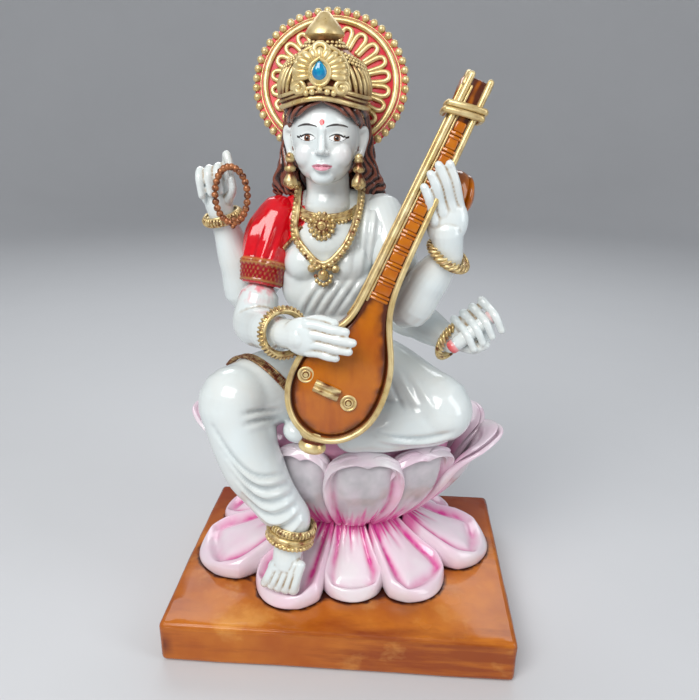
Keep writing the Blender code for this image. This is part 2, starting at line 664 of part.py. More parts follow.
def fit_pieces():
    """Gives every pair of neighbours their gap. A piece named later gives way to those named in its line."""
    carve("veena_body", "veena_soundboard")
    carve("veena_pegbox", "veena_body", "veena_clasp")
    carve("veena_clasp", "veena_body")
    carve("veena_upper_gourd", "veena_body", "veena_pegbox")
    carve("veena_tail_knob", "veena_body", "veena_soundboard")
    carve("veena_bridge", "veena_soundboard")
    carve("front_right_forearm", "bangle_front_right", "sleeve", "veena*")
    carve("front_right_hand", "front_right_forearm", "bangle_front_right", "veena*")
    carve("front_left_arm", "bangle_front_left", "veena*")
    carve("front_left_hand", "front_left_arm", "bangle_front_left", "veena*")
    carve("rear_right_arm", "bangle_rear_right", "sleeve", "front_right_forearm")
    carve("mala", "bangle_rear_right", "rear_right_arm")
    carve("rear_right_hand", "rear_right_arm", "bangle_rear_right", "mala")
    carve("rear_left_arm", "bangle_rear_left", "front_left_arm", "veena*")
    carve("rear_left_hand", "rear_left_arm", "bangle_rear_left", "manuscript")
    carve("choker", "necklace")
    carve("crown", "crown_gem", "halo")
    carve("head", "crown", "earring*", "choker", "halo")
    carve("hair", "head", "crown", "halo", "earring*", "choker", "necklace", "sleeve", "front_left_arm")
    carve("torso", "head", "hair", "choker", "necklace", "sleeve", "front*", "rear*", "veena*", "halo")
    carve("foot", "anklet")
    carve("right_leg", "anklet", "veena*", "front*")
    carve("left_leg", "veena*", "right_leg", "front*", "rear_left_arm")
    carve("hips", "torso", "right_leg", "left_leg", "veena*")
    carve("torso", "right_leg", "left_leg")
    for name in [o.name for o in FIGURINE.objects if o.name.startswith(("upper_petal", "lotus_cup"))]:
        carve(name, "hips", "right_leg", "left_leg", "veena*", "anklet")
    for name in [o.name for o in FIGURINE.objects if o.name.startswith("lower_petal")]:
        carve(name, "foot", "anklet", "right_leg", "lotus_base")


clear_scene()
SHAPES = {}
FIGURINE = new_collection("seated_veena_figurine")
make_plinth()
make_lotus_core()
make_lower_petals()
make_upper_petals()
make_veena()
make_legs()
make_torso()
make_arms()
make_hands()
make_head()
make_crown()
make_jewellery()
fit_pieces()
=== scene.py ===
import json

import bmesh
import bpy
import numpy as np
from math import cos, exp, hypot, pi, radians, sin, sqrt, tan
from mathutils import Matrix, Vector, noise
from mathutils.bvhtree import BVHTree

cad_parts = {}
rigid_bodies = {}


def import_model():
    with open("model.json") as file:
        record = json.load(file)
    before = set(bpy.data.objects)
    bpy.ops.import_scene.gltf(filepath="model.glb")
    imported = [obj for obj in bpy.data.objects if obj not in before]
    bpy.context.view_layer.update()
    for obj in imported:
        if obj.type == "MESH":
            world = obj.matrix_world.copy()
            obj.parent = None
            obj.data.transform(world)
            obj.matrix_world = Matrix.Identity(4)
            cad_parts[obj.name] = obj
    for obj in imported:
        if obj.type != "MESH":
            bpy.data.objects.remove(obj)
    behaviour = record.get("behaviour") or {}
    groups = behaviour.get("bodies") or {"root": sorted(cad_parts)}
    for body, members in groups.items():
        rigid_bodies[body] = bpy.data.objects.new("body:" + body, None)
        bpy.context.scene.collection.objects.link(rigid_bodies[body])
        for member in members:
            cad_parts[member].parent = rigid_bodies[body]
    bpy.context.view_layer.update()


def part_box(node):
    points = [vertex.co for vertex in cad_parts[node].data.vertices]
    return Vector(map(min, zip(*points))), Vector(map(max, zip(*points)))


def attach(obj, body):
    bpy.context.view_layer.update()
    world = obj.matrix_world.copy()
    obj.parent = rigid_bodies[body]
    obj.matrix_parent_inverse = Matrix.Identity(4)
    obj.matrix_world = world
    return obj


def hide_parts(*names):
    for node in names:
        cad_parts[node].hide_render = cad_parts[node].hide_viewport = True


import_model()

mm = 0.001  # every place and size below is written in millimetres


def clearSelection():
    if bpy.context.mode != "OBJECT":
        bpy.ops.object.mode_set(mode="OBJECT")
    bpy.ops.object.select_all(action="DESELECT")


def makeActive(obj):
    clearSelection()
    obj.select_set(True)
    bpy.context.view_layer.objects.active = obj


def applyModifiers(obj):
    makeActive(obj)
    for step in list(obj.modifiers):
        bpy.ops.object.modifier_apply(modifier=step.name)


def by(x, y, z):  # a step from a place
    return Vector((x, y, z))


def settle(obj):  # place, turn and size go into the mesh
    makeActive(obj)
    bpy.ops.object.transform_apply(location=True, rotation=True, scale=True)
    return obj


def place(obj, matrix):
    obj.data.transform(matrix)
    if matrix.determinant() < 0:
        obj.data.flip_normals()
    return obj


def finishPiece(obj, name, finish, nodes=(), sharp=None):
    obj.name = name
    obj.data.name = name
    obj.data.materials.clear()
    obj.data.materials.append(finish)
    makeActive(obj)
    if sharp:
        bpy.ops.object.shade_smooth_by_angle(angle=radians(sharp))
    else:
        bpy.ops.object.shade_smooth()
    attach(obj, "root")
    if nodes:
        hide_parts(*nodes)
    return obj


def addBall(centre, radii, turn=(0, 0, 0), segments=28, rings=18):
    clearSelection()
    bpy.ops.mesh.primitive_uv_sphere_add(segments=segments, ring_count=rings, radius=1)
    ball = bpy.context.object
    ball.scale = Vector(radii) * mm
    ball.rotation_euler = [radians(a) for a in turn]
    ball.location = Vector(centre) * mm
    return settle(ball)


def throughFour(a, b, c, d, t):
    # a place between b and c on a smooth curve through all four
    return 0.5 * (2 * b + (c - a) * t + (2 * a - 5 * b + 4 * c - d) * t * t
                  + (3 * b - a - 3 * c + d) * t ** 3)


def smoothRoute(points, radii, steps, closed=False):
    # a rounded path through the points, with the radius carried along it
    points = [Vector(p) for p in points]
    if isinstance(radii, (int, float)):
        radii = [radii] * len(points)
    count = len(points)
    route, sizes = [], []
    last = count if closed else count - 1
    for i in range(last):
        if closed:
            a, b, c, d = (points[(i + k) % count] for k in (-1, 0, 1, 2))
            ra, rb = radii[i], radii[(i + 1) % count]
        else:
            b, c = points[i], points[i + 1]
            a = points[i - 1] if i else b * 2 - c
            d = points[i + 2] if i + 2 < count else c * 2 - b
            ra, rb = radii[i], radii[i + 1]
        for k in range(steps):
            t = k / steps
            route.append(throughFour(a, b, c, d, t))
            ease = t * t * (3 - 2 * t)
            sizes.append(ra + (rb - ra) * ease)
    if not closed:
        route.append(points[-1])
        sizes.append(radii[-1])
    return route, sizes


def addRoll(points, radii, sides=12, steps=5, closed=False, rounded=True):
    # a tube like a roll of clay along a path
    route, sizes = smoothRoute(points, radii, steps, closed)
    if rounded and not closed:
        head = (route[0] - route[1]).normalized()
        tail = (route[-1] - route[-2]).normalized()
        first, end = sizes[0], sizes[-1]
        start, stop = route[0], route[-1]
        shares = ((0.98, 0.2), (0.8, 0.6), (0.45, 0.9))  # how far out, and how thick there
        route = [start + head * first * out for out, _ in shares] + route
        sizes = [first * thick for _, thick in shares] + sizes
        route += [stop + tail * end * out for out, _ in reversed(shares)]
        sizes += [end * thick for _, thick in reversed(shares)]
    curve = bpy.data.curves.new("roll", "CURVE")
    curve.dimensions = "3D"
    curve.bevel_depth = mm
    curve.bevel_resolution = max(0, sides // 2 - 2)
    curve.use_fill_caps = True
    spline = curve.splines.new("POLY")
    spline.points.add(len(route) - 1)
    spline.use_cyclic_u = closed
    for at, point, size in zip(spline.points, route, sizes):
        at.co = (*(point * mm), 1)
        at.radius = size
    roll = bpy.data.objects.new("roll", curve)
    bpy.context.scene.collection.objects.link(roll)
    makeActive(roll)
    bpy.ops.object.convert(target="MESH")
    bm = bmesh.new()
    bm.from_mesh(roll.data)
    bmesh.ops.remove_doubles(bm, verts=bm.verts, dist=1e-6)
    bmesh.ops.recalc_face_normals(bm, faces=bm.faces)
    bm.to_mesh(roll.data)
    bm.free()
    return roll


def joinParts(parts):
    clearSelection()
    for part in parts:
        part.select_set(True)
    bpy.context.view_layer.objects.active = parts[0]
    if len(parts) > 1:
        bpy.ops.object.join()
    return bpy.context.object


def fuseClay(parts, grain, rounds, factor=0.5):
    # presses balls and rolls into one smooth body
    body = joinParts(parts)
    mesh = body.modifiers.new("Remesh", "REMESH")
    mesh.mode = "VOXEL"
    mesh.voxel_size = grain * mm
    mesh.adaptivity = 0
    soften = body.modifiers.new("Smooth", "SMOOTH")
    soften.factor = factor
    soften.iterations = rounds
    applyModifiers(body)
    return body


def corners(obj):
    flat = np.empty(len(obj.data.vertices) * 3)
    obj.data.vertices.foreach_get("co", flat)
    return flat.reshape(-1, 3) / mm


def setCorners(obj, points):
    obj.data.vertices.foreach_set("co", (points * mm).ravel())
    obj.data.update()


def normals(obj):
    flat = np.empty(len(obj.data.vertices) * 3)
    obj.data.vertices.foreach_get("normal", flat)
    return flat.reshape(-1, 3)


def addSmoothing(obj):
    # rounds the facets off with one level of subdivision
    smooth = obj.modifiers.new("Subdivision", "SUBSURF")
    smooth.levels = smooth.render_levels = 1
    applyModifiers(obj)


def distanceToRoute(points, route):
    # nearest distance of each point to a path, and how far along the path it is
    best = np.full(len(points), 1e9)
    share = np.zeros(len(points))
    spots = np.array([tuple(p) for p in route])
    for i in range(len(spots) - 1):
        a, b = spots[i], spots[i + 1]
        line = b - a
        t = within((points - a) @ line / max(line @ line, 1e-9))
        away = np.linalg.norm(points - (a + t[:, None] * line), axis=1)
        near = away < best
        best[near] = away[near]
        share[near] = (i + t[near]) / (len(spots) - 1)
    return best, share


frontWay = np.array((-0.0605, 0.938, -0.340))  # from the front, a little above


def drawFold(obj, points, width, height, way=None):
    # raises (or sinks) a fold along a path, fading at both ends
    # with a way, the fold is laid on as seen along it
    route, _ = smoothRoute(points, 1.0, 6)
    spots, faces = corners(obj), normals(obj)
    if way is None:
        away, share = distanceToRoute(spots, route)
        lift = 1.0
    else:
        flat = spots - np.outer(spots @ way, way)
        away, share = distanceToRoute(flat, [p - Vector(way) * p.dot(Vector(way)) for p in route])
        depth = spots @ way - np.mean([p.dot(Vector(way)) for p in route])
        lift = (np.abs(depth) < 14) * within(-(faces @ way) * 3)
    fade = np.sin(np.pi * np.clip(share, 0.03, 0.97)) ** 0.5
    rise = lift * height * fade * np.exp(-((away / width) ** 2))
    setCorners(obj, spots + faces * rise[:, None])


def pushSpot(obj, centre, radius, move, power=2.0):
    # moves the surface round a spot, fading with distance
    spots = corners(obj)
    radius = np.array(radius, float) * np.ones(3)
    away = np.linalg.norm((spots - np.array(centre)) / radius, axis=1)
    setCorners(obj, spots + np.exp(-(away ** power))[:, None] * np.array(move))


def bell(distance, width):
    # 1 where the distance is none, fading smoothly away over the width
    return np.exp(-((distance / width) ** 2))


def within(values):
    return np.clip(values, 0, 1)


def writeSpread(obj, name, values):
    layer = obj.data.attributes.get(name) or obj.data.attributes.new(name, "FLOAT", "POINT")
    layer.data.foreach_set("value", np.asarray(values, np.float32))


def writeHollows(obj, rounds=3, gain=1.0):
    # 1 in grooves and creases, 0 on open and raised surface
    mesh = obj.data
    ends = np.empty(len(mesh.edges) * 2, np.int64)
    mesh.edges.foreach_get("vertices", ends)
    ends = ends.reshape(-1, 2)
    spots, faces = corners(obj), normals(obj)
    count = len(spots)
    size = np.linalg.norm(spots[ends[:, 0]] - spots[ends[:, 1]], axis=1)
    total, degree, reach = np.zeros((count, 3)), np.zeros(count), np.zeros(count)
    for a, b in ((0, 1), (1, 0)):
        np.add.at(total, ends[:, a], spots[ends[:, b]])
        np.add.at(degree, ends[:, a], 1)
        np.add.at(reach, ends[:, a], size)
    degree = np.maximum(degree, 1)
    bend = np.einsum("ij,ij->i", total / degree[:, None] - spots, faces) / np.maximum(reach / degree, 1e-6)
    for _ in range(rounds):
        near = np.zeros(count)
        for a, b in ((0, 1), (1, 0)):
            np.add.at(near, ends[:, a], bend[ends[:, b]])
        bend = 0.5 * bend + 0.5 * near / degree
    writeSpread(obj, "hollow", within(bend * 6 * gain))


def scatter(pattern, matrices):
    # one mesh from copies of a small pattern
    clearSelection()
    bm = bmesh.new()
    for matrix in matrices:
        copy = pattern.data.copy()
        copy.transform(matrix)
        if matrix.determinant() < 0:
            copy.flip_normals()
        bm.from_mesh(copy)
        bpy.data.meshes.remove(copy)
    mesh = bpy.data.meshes.new("copies")
    bm.to_mesh(mesh)
    bm.free()
    obj = bpy.data.objects.new("copies", mesh)
    bpy.context.scene.collection.objects.link(obj)
    bpy.data.objects.remove(pattern)
    return obj


def addBead():
    clearSelection()
    bpy.ops.mesh.primitive_uv_sphere_add(segments=10, ring_count=7, radius=mm)
    return bpy.context.object


def beadRow(points, radius, stretch=(1, 1, 1)):
    size = Matrix.Diagonal((*(Vector(stretch) * radius), 1))
    return scatter(addBead(), [Matrix.Translation(Vector(p) * mm) @ size for p in points])


def evenly(points, spacing):
    # places a fixed distance apart along a rounded path
    route, _ = smoothRoute(points, 1.0, 12)
    lengths = [0.0]
    for a, b in zip(route, route[1:]):
        lengths.append(lengths[-1] + (b - a).length)
    count = max(2, round(lengths[-1] / spacing))
    found = []
    for i in range(count + 1):
        want = lengths[-1] * i / count
        k = max(1, next((j for j, d in enumerate(lengths) if d >= want), len(lengths) - 1))
        t = (want - lengths[k - 1]) / max(1e-9, lengths[k] - lengths[k - 1])
        found.append(route[k - 1].lerp(route[k], t))
    return found


def aim(direction):
    return Vector(direction).to_track_quat("Z", "Y").to_matrix().to_4x4()


def ringPoints(centre, axis, radius, count, squash=1.0):
    turn = aim(axis).to_3x3()
    found = []
    for i in range(count):
        a = 2 * pi * i / count
        found.append(Vector(centre) + turn @ Vector((radius * cos(a), radius * squash * sin(a), 0)))
    return found


def grainAt(spots, size, seed):
    # smooth random value for each point, from 0 to 1
    shift = Vector((seed, seed * 2.3, -seed))
    return np.array([0.5 + 0.5 * noise.fractal(Vector(p) / size + shift, 0.8, 2.0, 3) for p in spots])


def lathe(profile, matrix, steps=32, squash=(1, 1)):
    # spins a half section round its own upright axis, then puts it in place
    bm = bmesh.new()
    rings = []
    turns = [2 * pi * i / steps for i in range(steps)]
    for radius, height in profile:
        wide, deep = radius * squash[0], radius * squash[1]
        if radius < 1e-6:
            rings.append([bm.verts.new((0, 0, height * mm))])
        else:
            rings.append([bm.verts.new((wide * cos(a) * mm, deep * sin(a) * mm, height * mm))
                          for a in turns])
    for low, high in zip(rings, rings[1:]):
        for i in range(steps):
            k = (i + 1) % steps
            if len(low) == 1 and len(high) > 1:
                bm.faces.new((low[0], high[i], high[k]))
            elif len(high) == 1 and len(low) > 1:
                bm.faces.new((low[i], low[k], high[0]))
            elif len(low) > 1:
                bm.faces.new((low[i], low[k], high[k], high[i]))
    bmesh.ops.recalc_face_normals(bm, faces=bm.faces)
    mesh = bpy.data.meshes.new("turned")
    bm.to_mesh(mesh)
    bm.free()
    obj = bpy.data.objects.new("turned", mesh)
    bpy.context.scene.collection.objects.link(obj)
    return place(obj, matrix)


shades = {
    "white": (0.70, 0.775, 0.79),
    "whiteWarm": (0.71, 0.74, 0.72),
    "whiteShade": (0.42, 0.47, 0.49),
    "gold": (0.60, 0.42, 0.15),
    "goldLight": (0.86, 0.72, 0.40),
    # the gold's recess colour, for its brown wash and for painted shade
    "goldWashAndShade": (0.16, 0.035, 0.012),
    "red": (0.76, 0.004, 0.012),
    "redDark": (0.17, 0.001, 0.008),
    "magenta": (0.66, 0.012, 0.27),
    "petal": (0.78, 0.70, 0.76),
    "petalGrey": (0.42, 0.40, 0.41),
    "lacquer": (0.50, 0.145, 0.002),
    "lacquerDark": (0.055, 0.010, 0.006),
    "hair": (0.17, 0.045, 0.026),
    "hairDark": (0.018, 0.005, 0.005),
    "slab": (0.40, 0.085, 0.005),
    "slabLight": (0.66, 0.22, 0.022),
    "bead": (0.34, 0.105, 0.035),
    "gem": (0.0, 0.36, 0.52),
}


def newGroup(name, inputs, outputs):
    group = bpy.data.node_groups.new(name, "ShaderNodeTree")
    for label, kind, value in inputs:
        socket = group.interface.new_socket(label, in_out="INPUT", socket_type=kind)
        socket.default_value = value
    for label, kind in outputs:
        group.interface.new_socket(label, in_out="OUTPUT", socket_type=kind)
    return group, group.nodes.new("NodeGroupInput"), group.nodes.new("NodeGroupOutput")


def mixColour(tree, share, first, second):
    node = tree.nodes.new("ShaderNodeMix")
    node.data_type = "RGBA"
    for socket, value in ((node.inputs[0], share), (node.inputs[6], first), (node.inputs[7], second)):
        if isinstance(value, bpy.types.NodeSocket):
            tree.links.new(value, socket)
        elif isinstance(value, tuple):
            socket.default_value = (*value, 1)
        else:
            socket.default_value = value
    return node.outputs[2]


def reckon(tree, operation, first, second=0.0, third=0.0, clamp=False):
    node = tree.nodes.new("ShaderNodeMath")
    node.operation = operation
    node.use_clamp = clamp
    for socket, value in zip(node.inputs, (first, second, third)):
        if isinstance(value, bpy.types.NodeSocket):
            tree.links.new(value, socket)
        else:
            socket.default_value = value
    return node.outputs[0]


def spread(tree, name):
    node = tree.nodes.new("ShaderNodeAttribute")
    node.attribute_name = name
    return node.outputs["Fac"]


def grain(tree, scale, detail=3.0, rough=0.5, stretch=(1, 1, 1)):
    where = tree.nodes.new("ShaderNodeTexCoord")
    size = tree.nodes.new("ShaderNodeMapping")
    size.inputs["Scale"].default_value = stretch
    node = tree.nodes.new("ShaderNodeTexNoise")
    node.inputs["Scale"].default_value = scale
    node.inputs["Detail"].default_value = detail
    node.inputs["Roughness"].default_value = rough
    tree.links.new(where.outputs["Object"], size.inputs["Vector"])
    tree.links.new(size.outputs["Vector"], node.inputs["Vector"])
    return node.outputs["Fac"]


def makeWashAndShadeGroup():
    # darkens the hollows with the wash colour, broken up by a fine grain: partly the dark wash the figure
    # has in its recesses, partly painted shade
    group, given, result = newGroup(
        "recessWashAndShade",
        (("Color", "NodeSocketColor", (1, 1, 1, 1)), ("Wash And Shade", "NodeSocketColor", (0, 0, 0, 1)),
         ("Amount", "NodeSocketFloat", 1.0)),
        (("Color", "NodeSocketColor"),),
    )
    speck = grain(group, 600.0, 2.0)
    broken = reckon(group, "MULTIPLY_ADD", speck, 1.1, 0.45)
    mask = reckon(group, "MULTIPLY", spread(group, "hollow"), broken)
    mask = reckon(group, "MULTIPLY", mask, given.outputs["Amount"], clamp=True)
    group.links.new(mixColour(group, mask, given.outputs["Color"], given.outputs["Wash And Shade"]),
                    result.inputs["Color"])
    return group


def makeBrushGroup():
    # two close shades in soft patches, with a matching change of gloss and a faint surface ripple
    group, given, result = newGroup(
        "brushPatches",
        (("First", "NodeSocketColor", (1, 1, 1, 1)), ("Second", "NodeSocketColor", (0, 0, 0, 1)),
         ("Scale", "NodeSocketFloat", 60.0), ("Gloss Low", "NodeSocketFloat", 0.1),
         ("Gloss High", "NodeSocketFloat", 0.3)),
        (("Color", "NodeSocketColor"), ("Roughness", "NodeSocketFloat"), ("Ripple", "NodeSocketFloat")),
    )
    patch = grain(group, 60.0, 4.0, 0.6)
    group.links.new(given.outputs["Scale"], patch.node.inputs["Scale"])
    soft = reckon(group, "MULTIPLY_ADD", patch, 2.2, -0.6, clamp=True)
    group.links.new(mixColour(group, soft, given.outputs["First"], given.outputs["Second"]),
                    result.inputs["Color"])
    span = reckon(group, "SUBTRACT", given.outputs["Gloss High"], given.outputs["Gloss Low"])
    group.links.new(reckon(group, "MULTIPLY_ADD", span, soft, given.outputs["Gloss Low"]),
                    result.inputs["Roughness"])
    group.links.new(grain(group, 900.0, 2.0), result.inputs["Ripple"])
    return group


washAndShadeGroup = makeWashAndShadeGroup()
brushGroup = makeBrushGroup()


def newFinish(name, first, second, scale, gloss, washAndShade=None, washAndShadeAmount=1.0, metal=0.0, coat=0.0,
              ripple=0.0):
    # a finish of brushed patches, with an optional dark tone in the hollows (the figure's wash there, and
    # painted shade); paint() adds areas over it
    finish = bpy.data.materials.new(name)
    finish.use_nodes = True
    tree = finish.node_tree
    shader = tree.nodes["Principled BSDF"]
    brush = tree.nodes.new("ShaderNodeGroup")
    brush.node_tree = brushGroup
    brush.inputs["First"].default_value = (*first, 1)
    brush.inputs["Second"].default_value = (*second, 1)
    brush.inputs["Scale"].default_value = scale
    brush.inputs["Gloss Low"].default_value = gloss[0]
    brush.inputs["Gloss High"].default_value = gloss[1]
    colour = brush.outputs["Color"]
    if washAndShade:
        washAndShadeNode = tree.nodes.new("ShaderNodeGroup")
        washAndShadeNode.node_tree = washAndShadeGroup
        washAndShadeNode.inputs["Wash And Shade"].default_value = (*washAndShade, 1)
        washAndShadeNode.inputs["Amount"].default_value = washAndShadeAmount
        tree.links.new(colour, washAndShadeNode.inputs["Color"])
        colour = washAndShadeNode.outputs["Color"]
    tree.links.new(colour, shader.inputs["Base Color"])
    tree.links.new(brush.outputs["Roughness"], shader.inputs["Roughness"])
    shader.inputs["Metallic"].default_value = metal
    shader.inputs["Coat Weight"].default_value = coat
    shader.inputs["Coat Roughness"].default_value = 0.04
    if ripple:
        bump = tree.nodes.new("ShaderNodeBump")
        bump.inputs["Strength"].default_value = ripple
        bump.inputs["Distance"].default_value = 0.0002
        tree.links.new(brush.outputs["Ripple"], bump.inputs["Height"])
        tree.links.new(bump.outputs["Normal"], shader.inputs["Normal"])
    return finish


def paint(finish, mask, colour, share=1.0):
    # lays a colour over the finish wherever the named spread is painted on the mesh
    tree = finish.node_tree
    shader = tree.nodes["Principled BSDF"]
    was = shader.inputs["Base Color"].links[0].from_socket
    value = spread(tree, mask) if isinstance(mask, str) else mask
    value = reckon(tree, "MULTIPLY", value, share, clamp=True)
    tree.links.new(mixColour(tree, value, was, colour), shader.inputs["Base Color"])
    return finish


s = shades
whiteGlaze = newFinish("whiteGlaze", s["white"], s["whiteWarm"], 45.0, (0.10, 0.22), s["whiteShade"], 0.55,
                       coat=0.5, ripple=0.06)
goldPaint = newFinish("goldPaint", s["gold"], s["goldLight"], 260.0, (0.22, 0.42), s["goldWashAndShade"], 1.25,
                      metal=0.5, ripple=0.25)
goldPlain = newFinish("goldPlain", s["gold"], s["goldLight"], 120.0, (0.25, 0.4), s["goldWashAndShade"], 0.6,
                      metal=0.5, ripple=0.2)
redEnamel = newFinish("redEnamel", s["red"], (0.52, 0.002, 0.010), 50.0, (0.06, 0.18), s["redDark"], 1.2,
                      coat=0.4, ripple=0.05)
lacquerGloss = newFinish("lacquerGloss", s["lacquer"], (0.36, 0.075, 0.002), 70.0, (0.08, 0.22),
                         s["lacquerDark"], 1.3, coat=0.35, ripple=0.06)
hairPaint = newFinish("hairPaint", s["hair"], (0.26, 0.085, 0.052), 160.0, (0.14, 0.3), s["hairDark"], 1.5,
                      coat=0.3, ripple=0.1)
beadPaint = newFinish("beadPaint", s["bead"], (0.48, 0.2, 0.075), 250.0, (0.22, 0.4), s["lacquerDark"], 1.1,
                      metal=0.25, ripple=0.15)
petalGlaze = newFinish("petalGlaze", s["petal"], (0.78, 0.75, 0.77), 55.0, (0.1, 0.22), s["petalGrey"], 0.5,
                       coat=0.5, ripple=0.06)
print("finishes mixed")

studio = {
    "cameraPlace": (18.5, -274.0, 223.7), "cameraAim": (0.8, 0.0, 124.3), "cameraRoll": 0.7, "lens": 34.46,
    "keyPower": 11.2, "fillPower": 2.4, "rimPower": 2.6, "surround": 0.33, "floor": (0.60, 0.61, 0.63),
}


def addCamera():
    data = bpy.data.cameras.new("camera")
    camera = bpy.data.objects.new("camera", data)
    bpy.context.scene.collection.objects.link(camera)
    data.lens = studio["lens"]
    data.sensor_width = 36
    data.clip_start = 0.01
    eye = Vector(studio["cameraPlace"]) * mm
    ahead = (Vector(studio["cameraAim"]) * mm - eye).normalized()
    right = ahead.cross(Vector((0, 0, 1))).normalized()
    up = right.cross(ahead)
    roll = radians(studio["cameraRoll"])
    turned = Matrix((right * cos(roll) + up * sin(roll), up * cos(roll) - right * sin(roll), -ahead))
    camera.matrix_world = Matrix.Translation(eye) @ turned.transposed().to_4x4()
    bpy.context.scene.camera = camera


def addSoftbox(name, place, aimAt, size, power, colour=(1, 1, 1)):
    data = bpy.data.lights.new(name, "AREA")
    data.shape = "RECTANGLE"
    data.size, data.size_y = size
    data.energy = power
    data.color = colour
    light = bpy.data.objects.new(name, data)
    bpy.context.scene.collection.objects.link(light)
    light.location = place
    light.rotation_euler = (Vector(aimAt) - Vector(place)).to_track_quat("-Z", "Y").to_euler()


def addStage():
    cove, coveStart = 600, 1100  # radius of the floor's curve up to the wall, and where it starts
    sweep = [(0, 0), (300, 0), (700, 0)]
    for t in np.linspace(0, pi / 2, 14):
        sweep.append((coveStart + cove * sin(t), cove - cove * cos(t)))
    sweep.append((coveStart + cove, 1500))
    floor = lathe(sweep, Matrix.Identity(4), 96)
    floor.data.flip_normals()
    makeActive(floor)
    bpy.ops.object.shade_smooth()
    floor.name = "floor"
    floor.data.materials.append(newFinish("floorPaint", studio["floor"], (0.57, 0.58, 0.60), 3.0,
                                          (0.5, 0.6), ripple=0.02))
    world = bpy.data.worlds.new("surround")
    bpy.context.scene.world = world
    world.use_nodes = True
    world.node_tree.nodes["Background"].inputs["Color"].default_value = (0.93, 0.96, 1.0, 1)
    world.node_tree.nodes["Background"].inputs["Strength"].default_value = studio["surround"]
    addSoftbox("keyLight", (-0.32, -0.72, 0.85), (0, 0, 0.12), (0.75, 0.6), studio["keyPower"],
               (1.0, 0.985, 0.96))
    addSoftbox("fillLight", (0.75, -0.35, 0.45), (0, 0, 0.12), (0.30, 0.8), studio["fillPower"],
               (0.94, 0.97, 1.0))
    addSoftbox("rimLight", (-0.1, 0.6, 0.7), (0, 0, 0.15), (0.9, 0.3), studio["rimPower"],
               (0.95, 0.98, 1.0))
    bpy.context.scene.view_settings.view_transform = "Standard"


addCamera()
addStage()
print("camera, light and floor ready")

plinth = {"edge": 2.6, "rounding": 4, "wave": 0.35}


def slabFinish():
    finish = newFinish("slabGlaze", s["slab"], s["slabLight"], 28.0, (0.12, 0.3), coat=0.15, ripple=0.05)
    tree = finish.node_tree
    shader = tree.nodes["Principled BSDF"]
    shader.inputs["Specular IOR Level"].default_value = 0.3
    streaks = grain(tree, 22.0, 6.0, 0.65, (0.35, 1.0, 3.4))
    paint(finish, reckon(tree, "MULTIPLY_ADD", streaks, 8.0, -3.9, clamp=True), (0.24, 0.040, 0.006), 0.8)
    cloud = grain(tree, 34.0, 5.0, 0.6, (1.0, 1.0, 1.6))
    paint(finish, reckon(tree, "MULTIPLY_ADD", cloud, 8.0, -4.6, clamp=True), (0.85, 0.42, 0.10), 0.5)
    paint(finish, "rearShade", (0.22, 0.028, 0.010), 0.8)
    paint(finish, "edgeShade", (0.10, 0.012, 0.006), 0.85)
    # a thin dark line round where the lower petals meet the slab: a dark joint, with painted shadow in it
    wobble = reckon(tree, "MULTIPLY_ADD", grain(tree, 160.0, 2.0), 1.6, 0.2)
    line = reckon(tree, "MULTIPLY_ADD", reckon(tree, "SUBTRACT", spread(tree, "contact"), wobble), -1.1,
                  1.0, clamp=True)
    paint(finish, line, (0.035, 0.006, 0.005), 0.95)
    specks = tree.nodes.new("ShaderNodeTexVoronoi")
    specks.inputs["Scale"].default_value = 110.0
    where = tree.nodes.new("ShaderNodeTexCoord")
    tree.links.new(where.outputs["Object"], specks.inputs["Vector"])
    dots = reckon(tree, "LESS_THAN", specks.outputs["Distance"], 0.05)
    rare = reckon(tree, "GREATER_THAN", grain(tree, 60.0, 1.0), 0.6)
    paint(finish, reckon(tree, "MULTIPLY", dots, rare), (0.03, 0.006, 0.004), 0.9)
    return finish


